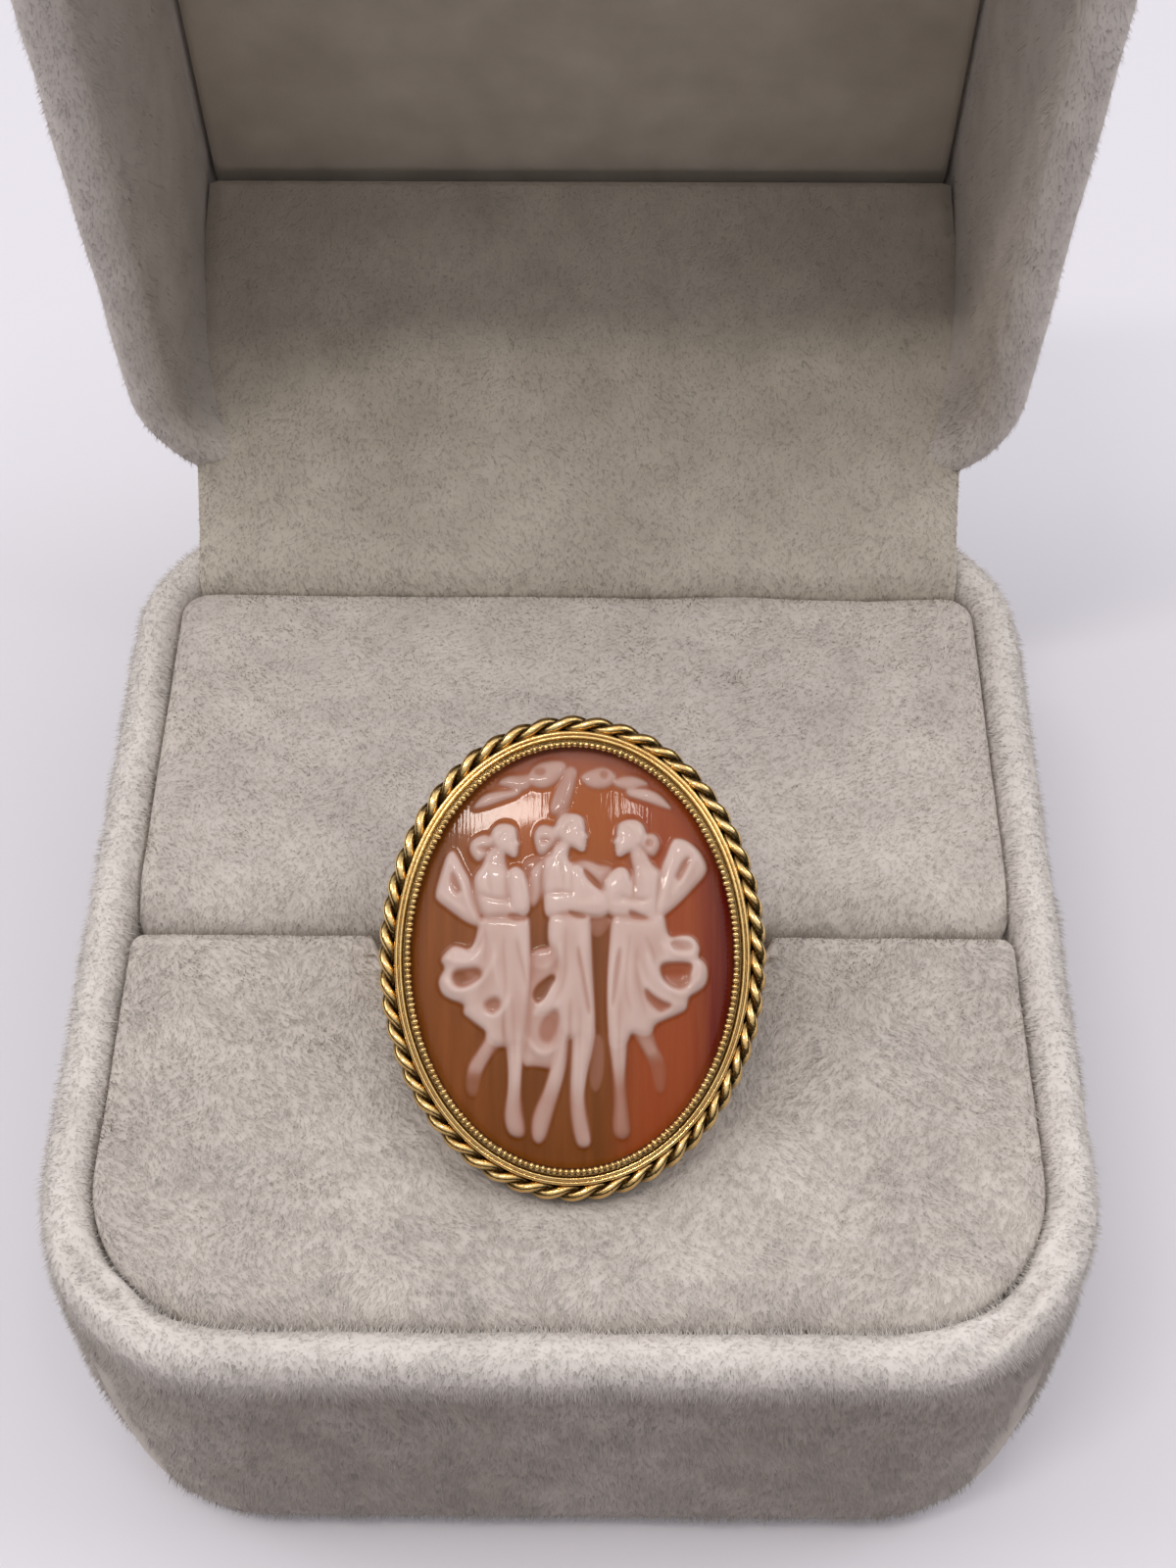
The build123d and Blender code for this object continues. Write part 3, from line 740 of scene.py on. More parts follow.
rows, path = strip_rows()
points, faces = closed_skin(rows)
lining_skin = plush_material("lining_plush_backing", LINING_ROOT, LINING_TIP, False)
lining_pile = plush_material("lining_plush_pile", LINING_ROOT, LINING_TIP, True)
strip = build_piece("hinge_strip", points, faces, lining_skin)
set_tone(strip, np.full(len(points), SKIN_TONE))
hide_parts("hinge_flap")
share = np.ones(len(faces[0]))
normals = vertex_normals(points, faces[0])
middle_normals = normals[faces[0]].mean(axis=1)
share[middle_normals[:, 2] < 0.2] = UNDERSIDE_SHARE
painted_light_and_shade = np.zeros(len(share))
strip_nap = grow_pile(
    "hinge_strip_nap", points, faces[0], share, painted_light_and_shade, (0, -1, -0.4), 50_000, 73, lining_pile, 0.3
)
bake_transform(strip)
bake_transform(strip_nap)


# Card in the closed end of the lid, covered in the strip's plush and pressed in edge to edge.
# Its skin has a fine bump but no hairs, because it stands far back in the shade.
CARD_THICKNESS = 1.2
CARD_TOP = LID_RIM_Z + LID_HEIGHT - FLOOR - 0.15
CARD_HALF_WIDTH = 23.35
CARD_HALF_DEPTH = 25.35
CARD_CORNER = 5.6
# The card's plush is darkened as painted shade, for the shade deep in the lid.
CARD_PAINTED_SHADE = -0.10


def card_rows():
    """Rows of a thin slab with round edges, from the middle of one face to that of the other."""
    turn = np.radians(np.linspace(-90, 90, 9))
    half = CARD_THICKNESS / 2
    insets = half - half * np.cos(turn)
    heights = half * np.sin(turn)
    rows = []
    for inset, height in zip(insets, heights):
        radius = CARD_CORNER - inset
        loop, _ = oblong_loop(CARD_HALF_WIDTH - inset, CARD_HALF_DEPTH - inset, (radius, radius))
        rows.append(np.concatenate([loop, np.full((len(loop), 1), CARD_TOP - half + height)], axis=1))
    rows = np.array(rows)
    shrink = np.linspace(0.03, 1, 9)[:-1, None, None]
    low = rows[0] * shrink
    low[:, :, 2] = rows[0, 0, 2]
    high = rows[-1] * shrink[::-1]
    high[:, :, 2] = rows[-1, 0, 2]
    return np.concatenate([low, rows, high])


closed_points, faces = closed_skin(card_rows())
points = opened(closed_points)
card = build_piece("lid_card", points, faces, lining_skin)
# Its skin's tone is lowered by that painted shade.
set_tone(card, np.full(len(points), SKIN_TONE + CARD_PAINTED_SHADE))
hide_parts("lid_ceiling_panel")
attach(card, "lid")


# Hinge: two pressed steel leaves and their pin, nickel plated, with the CAD's own shapes. In
# the photo they are hidden. From behind, the pin shows along the seam between base and lid.
steel, tree, output = new_material("nickel_plated_steel")
place = add_node(tree, "ShaderNodeTexCoord")
smear = add_node(
    tree,
    "ShaderNodeTexNoise",
    {"Vector": place.outputs["Object"], "Scale": 1 / (0.8 * MM), "Detail": 4.0},
)
shine = add_node(
    tree,
    "ShaderNodeMapRange",
    {"Value": smear.outputs["Fac"], "To Min": 0.22, "To Max": 0.42},
)
shader = add_node(
    tree,
    "ShaderNodeBsdfPrincipled",
    {"Base Color": linear("#c9c6bf"), "Metallic": 1.0, "Roughness": shine.outputs["Result"]},
)
tree.links.new(shader.outputs["BSDF"], output.inputs["Surface"])
for name in ("hinge_base_leaf", "hinge_lid_leaf", "hinge_pin"):
    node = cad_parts[name]
    node.data.materials.clear()
    node.data.materials.append(steel)


# Ring's gold: an oval bezel round the stone with a beaded lip, two plain wires on its ledge
# and a border of two wires twisted into a rope, all soldered to a cast finger hoop.
FACE_PLACE = np.array([0.15, -10.5, 31.3])
FACE_LEAN = math.radians(34.0)
STONE_HALF_WIDTH = 8.05
STONE_HALF_LENGTH = 10.5
ROPE_TURNS = 26
ROPE_OFFSET = 1.32
ROPE_DEPTH = 1.35
STRAND_RADIUS = 0.28
STRAND_SPACING = 0.20
WIRES = [(0.62, 0.72), (0.84, 0.90)]
WIRE_RADIUS = 0.135
BEAD_COUNT = 205
BEAD_OFFSET = 0.20
BEAD_HEIGHT = -0.10
BEAD_RADII = (0.18, 0.125, 0.14)
BEAD_UNEVENNESS = 0.10
BEZEL_STEPS = 300
GOLD = "#dba962"
GOLD_PALE = "#f3d797"
# Dark brown for the gold's crevices and undersides: tarnish and painted shade.
TARNISH_AND_SHADE = "#2e1c06"


def on_face(across, along, height):
    """Points in the box's frame from places on the ring's face: across it, up along it and out
    from it, in mm from the stone's middle."""
    points = np.empty(np.broadcast(across, along, height).shape + (3,))
    points[..., 0] = FACE_PLACE[0] + across
    points[..., 1] = FACE_PLACE[1] + along * math.cos(FACE_LEAN) - height * math.sin(FACE_LEAN)
    points[..., 2] = FACE_PLACE[2] + along * math.sin(FACE_LEAN) + height * math.cos(FACE_LEAN)
    return points


def oval(count):
    """Points and outward normals at equal steps round the stone's visible outline."""
    turn = np.linspace(0, 2 * np.pi, 7201)
    steps = np.hypot(STONE_HALF_WIDTH * np.sin(turn), STONE_HALF_LENGTH * np.cos(turn))
    length = np.concatenate([[0], np.cumsum((steps[1:] + steps[:-1]) / 2)])
    at = np.interp(np.arange(count) / count * length[-1], length, turn)
    points = np.stack([STONE_HALF_WIDTH * np.cos(at), STONE_HALF_LENGTH * np.sin(at)], axis=1)
    normals = points / (STONE_HALF_WIDTH**2, STONE_HALF_LENGTH**2)
    return points, normals / np.linalg.norm(normals, axis=1)[:, None]


def carried_section(section, count):
    """A closed section of (offset, height) pairs carried round the oval."""
    places, normals = oval(count)
    flat = places[None] + section[:, None, :1] * normals[None]
    return on_face(flat[..., 0], flat[..., 1], np.broadcast_to(section[:, 1:], flat.shape[:2]))


def ring_faces(loops, columns):
    """Quads of a surface closed both ways."""
    index = np.arange(loops * columns).reshape(loops, columns)
    after = np.roll(index, -1, axis=1)
    corners = [index, after, np.roll(after, -1, axis=0), np.roll(index, -1, axis=0)]
    return np.stack(corners, axis=-1).reshape(-1, 4)


def rounded_section(corners, bite, steps):
    """A closed outline whose corners are replaced by quadratic curves that start a bite away."""
    corners = np.array(corners, float)
    before = np.roll(corners, 1, axis=0) - corners
    after = np.roll(corners, -1, axis=0) - corners
    reach_before = np.linalg.norm(before, axis=1)[:, None]
    reach_after = np.linalg.norm(after, axis=1)[:, None]
    start = corners + before / reach_before * np.minimum(bite, 0.45 * reach_before)
    end = corners + after / reach_after * np.minimum(bite, 0.45 * reach_after)
    part = np.linspace(0, 1, steps)[None, :, None]
    towards = 2 * part * (1 - part) * corners[:, None]
    curve = (1 - part) ** 2 * start[:, None] + towards + part**2 * end[:, None]
    return curve.reshape(-1, 2)


def closed_tube(path, radius, sides, up):
    """A round wire along a closed path. up is each station's steadying direction."""
    tangent = np.roll(path, -1, axis=0) - np.roll(path, 1, axis=0)
    tangent /= np.linalg.norm(tangent, axis=1)[:, None]
    first = up - (up * tangent).sum(axis=1)[:, None] * tangent
    first /= np.linalg.norm(first, axis=1)[:, None]
    second = np.cross(tangent, first)
    turn = np.linspace(0, 2 * np.pi, sides, endpoint=False)
    rings = path[:, None] + radius * (
        np.cos(turn)[None, :, None] * first[:, None] + np.sin(turn)[None, :, None] * second[:, None]
    )
    return rings.reshape(-1, 3), [ring_faces(len(path), sides)]


def gold_material(name, roughness, wear):
    """Yellow 18 carat gold, polished but worn: soft fine scratches, slightly uneven tone, and dark
    brown in its crevices and on its undersides, by a point attribute, which is partly tarnish and
    partly painted shade."""
    material, tree, output = new_material(name)
    place = add_node(tree, "ShaderNodeTexCoord")
    tone = add_node(
        tree,
        "ShaderNodeTexNoise",
        {"Vector": place.outputs["Object"], "Scale": 1 / (1.6 * MM), "Detail": 3.0},
    )
    colour = add_node(
        tree,
        "ShaderNodeMix",
        {"Factor": tone.outputs["Fac"], 6: linear(GOLD), 7: linear(GOLD_PALE)},
        data_type="RGBA",
    )
    # Tarnish and painted shade, darkening the gold in its crevices and on its undersides.
    crevice = add_node(tree, "ShaderNodeAttribute", attribute_name="tarnish_and_shade")
    tarnished_and_shaded = add_node(
        tree,
        "ShaderNodeMix",
        {"Factor": crevice.outputs["Fac"], 6: colour.outputs[2], 7: linear(TARNISH_AND_SHADE)},
        data_type="RGBA",
    )
    fine = add_node(
        tree,
        "ShaderNodeTexNoise",
        {"Vector": place.outputs["Object"], "Scale": 1 / (0.22 * MM), "Detail": 4.0},
    )
    shine = add_node(
        tree,
        "ShaderNodeMapRange",
        {"Value": fine.outputs["Fac"], "To Min": roughness * 0.6, "To Max": roughness * 1.5},
    )
    bump = add_node(
        tree, "ShaderNodeBump", {"Height": fine.outputs["Fac"], "Strength": wear, "Distance": 0.03 * MM}
    )
    shader = add_node(
        tree,
        "ShaderNodeBsdfPrincipled",
        {
            "Base Color": tarnished_and_shaded.outputs[2],
            "Metallic": 1.0,
            "Roughness": shine.outputs["Result"],
            "Normal": bump.outputs["Normal"],
        },
    )
    tree.links.new(shader.outputs["BSDF"], output.inputs["Surface"])
    return material


def set_tarnish_and_shade(piece, values):
    """Keeps how far each point is darkened, from 0 to 0.9, as an attribute: tarnish and painted shade."""
    attribute = piece.data.attributes.new("tarnish_and_shade", "FLOAT", "POINT")
    attribute.data.foreach_set("value", np.clip(values, 0, 0.9).astype(np.float32))


gold = gold_material("polished_gold", 0.11, 0.6)
worn_gold = gold_material("worn_gold", 0.20, 0.8)
FACE_OUT = np.array([0, -math.sin(FACE_LEAN), math.cos(FACE_LEAN)])

# Bezel and its ledge: going round the section from the seat, over the lip and down outside
BEZEL_SECTION = [
    (-0.60, -2.35), (0.42, -2.35), (0.42, -0.95), (0.10, -0.72), (0.02, -0.30), (0.14, -0.12),
    (0.40, -0.14), (0.52, -0.80), (0.98, -0.98), (0.98, -1.80), (0.62, -2.10), (0.62, -3.40),
    (-0.60, -3.40),
]
section = rounded_section(BEZEL_SECTION, 0.09, 4)
points = carried_section(section, BEZEL_STEPS).reshape(-1, 3)
bezel = build_piece("ring_bezel", points, [ring_faces(len(section), BEZEL_STEPS)], worn_gold)
in_trough = (section[:, 0] > 0.45) & (section[:, 1] < -0.5) & (section[:, 1] > -1.9)
under_beads = (section[:, 0] < 0.45) & (section[:, 1] > -0.8)
# Darker in the trough and under the beads: tarnish and painted shade.
set_tarnish_and_shade(bezel, np.repeat(0.8 * in_trough + 0.75 * under_beads, BEZEL_STEPS))
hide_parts("ring_mount")
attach(bezel, "box")

# Two plain wires side by side on the ledge
places, normals = oval(260)
for number, (offset, depth) in enumerate(WIRES):
    flat = places + offset * normals
    path = on_face(flat[:, 0], flat[:, 1], np.full(len(flat), -depth))
    points, faces = closed_tube(path, WIRE_RADIUS, 8, np.tile(FACE_OUT, (len(path), 1)))
    wire = build_piece(f"ring_plain_wire_{number + 1}", points, faces, gold)
    low_side = (points.reshape(len(path), -1, 3) - path[:, None]) @ FACE_OUT
    # Darker on each wire's underside: tarnish and painted shade.
    set_tarnish_and_shade(wire, (-0.02 - low_side.ravel()) / 0.10)
    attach(wire, "box")

# Rope border: two wires, a half turn apart, twisted about one line round the bezel
places, normals = oval(ROPE_TURNS * 26)
rope_line = places + ROPE_OFFSET * normals
rope_line = on_face(rope_line[:, 0], rope_line[:, 1], np.full(len(places), -ROPE_DEPTH))
for strand in (0, 1):
    twist = 2 * np.pi * ROPE_TURNS * np.arange(len(places)) / len(places) + np.pi * strand
    flat = places + (ROPE_OFFSET + STRAND_SPACING * np.cos(twist))[:, None] * normals
    path = on_face(flat[:, 0], flat[:, 1], STRAND_SPACING * np.sin(twist) - ROPE_DEPTH)
    points, faces = closed_tube(path, STRAND_RADIUS, 12, np.tile(FACE_OUT, (len(path), 1)))
    rope = build_piece(f"ring_rope_strand_{strand + 1}", points, faces, gold)
    from_middle = np.linalg.norm(points.reshape(len(path), -1, 3) - rope_line[:, None], axis=2)
    # Darker where the two strands meet: tarnish and painted shade.
    set_tarnish_and_shade(rope, (0.44 - from_middle.ravel()) / 0.12)
    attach(rope, "box")


def bead_row(count):
    """Beads rolled along the lip, slightly uneven: each is a small ball, longer across the
    lip than along it."""
    places, normals = oval(count)
    chance = np.random.default_rng(91)
    along = np.stack([-normals[:, 1], normals[:, 0]], axis=1)
    turn = np.linspace(0, 2 * np.pi, 10, endpoint=False)
    rise = np.radians(np.linspace(-90, 90, 7)[1:-1])
    shape = np.stack(
        [
            np.outer(np.cos(rise), np.cos(turn)),
            np.outer(np.cos(rise), np.sin(turn)),
            np.outer(np.sin(rise), np.ones(len(turn))),
        ],
        axis=-1,
    )
    size = BEAD_RADII * (1 + BEAD_UNEVENNESS * chance.normal(size=(count, 3)))
    across_size, along_size, out_size = size.T[:, :, None, None]
    flat = (
        places[:, None, None]
        + (BEAD_OFFSET + across_size * shape[None, :, :, 0])[..., None] * normals[:, None, None]
        + (along_size * shape[None, :, :, 1])[..., None] * along[:, None, None]
    )
    height = BEAD_HEIGHT + out_size * shape[None, :, :, 2]
    points = on_face(flat[..., 0], flat[..., 1], height).reshape(count, -1, 3)
    middles = places + BEAD_OFFSET * normals
    pole_height = BEAD_HEIGHT + out_size[:, 0] * np.array([[-1, 1]])
    poles = on_face(middles[:, :1], middles[:, 1:], pole_height)
    points = np.concatenate([points, poles], axis=1)
    rings, sides = shape.shape[:2]
    index = np.arange(rings * sides).reshape(rings, sides)
    after = np.roll(index, -1, axis=1)
    quads = np.stack([index[:-1], after[:-1], after[1:], index[1:]], axis=-1).reshape(-1, 4)
    low = np.stack([after[0], index[0], np.full(sides, rings * sides)], axis=1)
    high = np.stack([index[-1], after[-1], np.full(sides, rings * sides + 1)], axis=1)
    shift = (np.arange(count) * points.shape[1])[:, None, None]
    return points.reshape(-1, 3), [
        (quads[None] + shift).reshape(-1, 4),
        (np.concatenate([low, high])[None] + shift).reshape(-1, 3),
    ]


points, faces = bead_row(BEAD_COUNT)
beads = build_piece("ring_beaded_lip", points, faces, gold)
# Darker on each bead's underside: tarnish and painted shade.
set_tarnish_and_shade(beads, (-0.06 - (points - FACE_PLACE) @ FACE_OUT) / 0.08)
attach(beads, "box")

# Finger hoop and its shoulders, as one bar bent to size: a rounded section that grows from
# the bottom of the hoop up to the shoulders, which run up to the setting's underside.
HOOP_RADIUS = 9.15
HOOP_DROP = 12.0
HOOP_THICKNESS = 1.3
HOOP_WIDTH = 2.2
SHOULDER_WIDTH = 4.8
SHOULDER_START = 4.4
POST_X = 7.9
POST_THICKNESS = 0.9
POST_TOP = HOOP_DROP - 3.2
SECTION_ROUNDNESS = 0.55


def hoop_bar():
    """The bar's rounded section carried from one shoulder's top, round the hoop's bottom to the
    other's. Its width grows with height above the hoop's centre, as its thickness thins."""
    last = math.asin(SHOULDER_START / HOOP_RADIUS)
    turn = np.linspace(math.pi - last, 2 * math.pi + last, 120)
    arc = np.stack([HOOP_RADIUS * np.cos(turn), HOOP_RADIUS * np.sin(turn)], axis=1)
    rise = np.linspace(POST_TOP, SHOULDER_START + 0.4, 12)
    left = np.stack([np.full(12, -POST_X), rise], axis=1)
    right = left[::-1] * (-1, 1)
    path = np.concatenate([left, arc, right])
    tangent = np.gradient(path, axis=0)
    tangent /= np.linalg.norm(tangent, axis=1)[:, None]
    outward = np.stack([tangent[:, 1], -tangent[:, 0]], axis=1)
    grow = np.clip(path[:, 1] / POST_TOP, 0, 1)
    width = HOOP_WIDTH + (SHOULDER_WIDTH - HOOP_WIDTH) * grow
    thickness = HOOP_THICKNESS + (POST_THICKNESS - HOOP_THICKNESS) * np.clip(grow * 2, 0, 1)
    turn = np.linspace(0, 2 * np.pi, 20, endpoint=False)
    round_out = np.sign(np.cos(turn)) * np.abs(np.cos(turn)) ** SECTION_ROUNDNESS
    round_side = np.sign(np.sin(turn)) * np.abs(np.sin(turn)) ** SECTION_ROUNDNESS
    off = path[:, None] + outward[:, None] * (thickness[:, None, None] / 2 * round_out[None, :, None])
    along = width[:, None] / 2 * round_side[None]
    rows = on_face(off[..., 0], along, off[..., 1] - HOOP_DROP)
    return closed_skin(rows)


points, faces = hoop_bar()
hoop = build_piece("ring_hoop", points, faces, gold)
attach(hoop, "box")


# Cameo: an oval of shell with an orange under layer and a thin white upper one, in which
# three dancers under a spray of leaves are carved. It is one plate with a shallow dome.
DOME_APEX = 0.27
DOME_FALL = 1.05
PLATE_HALF_WIDTH = STONE_HALF_WIDTH + 0.34
PLATE_HALF_LENGTH = STONE_HALF_LENGTH + 0.34
PLATE_BACK = -2.2
RELIEF = 0.5
EDGE_WIDTH = 0.08
TOP_WIDTH = 0.40
EDGE_SHARE = 0.6
CLOTH_WAVES = 0.07
CAMEO_STEPS = 300

# Heads: centre across and along, height, and the side that they face
HEADS = [(-3.40, 5.78, 1.58, 1), (-0.06, 6.20, 1.80, 1), (2.86, 5.93, 1.74, -1)]
# A head of height 1 facing right, its hair, and the cuts of its eye, mouth and hair band
FACE_OUTLINE = [
    (-0.05, 0.50), (0.18, 0.47), (0.32, 0.35), (0.37, 0.16), (0.35, 0.05), (0.46, -0.11), (0.38, -0.16),
    (0.41, -0.23), (0.38, -0.28), (0.40, -0.34), (0.36, -0.39),
    (0.37, -0.46), (0.28, -0.51), (0.08, -0.40),
    (-0.10, -0.34), (-0.22, -0.34), (-0.38, -0.12), (-0.43, 0.12), (-0.35, 0.34), (-0.20, 0.46),
]
HAIR_OUTLINE = [
    (-0.05, 0.55), (0.18, 0.51), (0.34, 0.38), (0.28, 0.26), (0.12, 0.20), (0.02, 0.04), (-0.10, -0.10),
    (-0.26, -0.22), (-0.42, -0.10), (-0.48, 0.14), (-0.40, 0.38), (-0.24, 0.51),
]
FACE_CUTS = [
    (-0.16, 0.05, [(0.22, 0.02), (0.33, 0.00)]),
    (-0.14, 0.05, [(0.31, -0.30), (0.42, -0.29)]),
    (-0.14, 0.06, [(-0.20, -0.02), (-0.06, 0.26), (0.16, 0.36)]),
    (-0.12, 0.06, [(-0.44, 0.20), (-0.24, 0.34), (-0.06, 0.50)]),
]
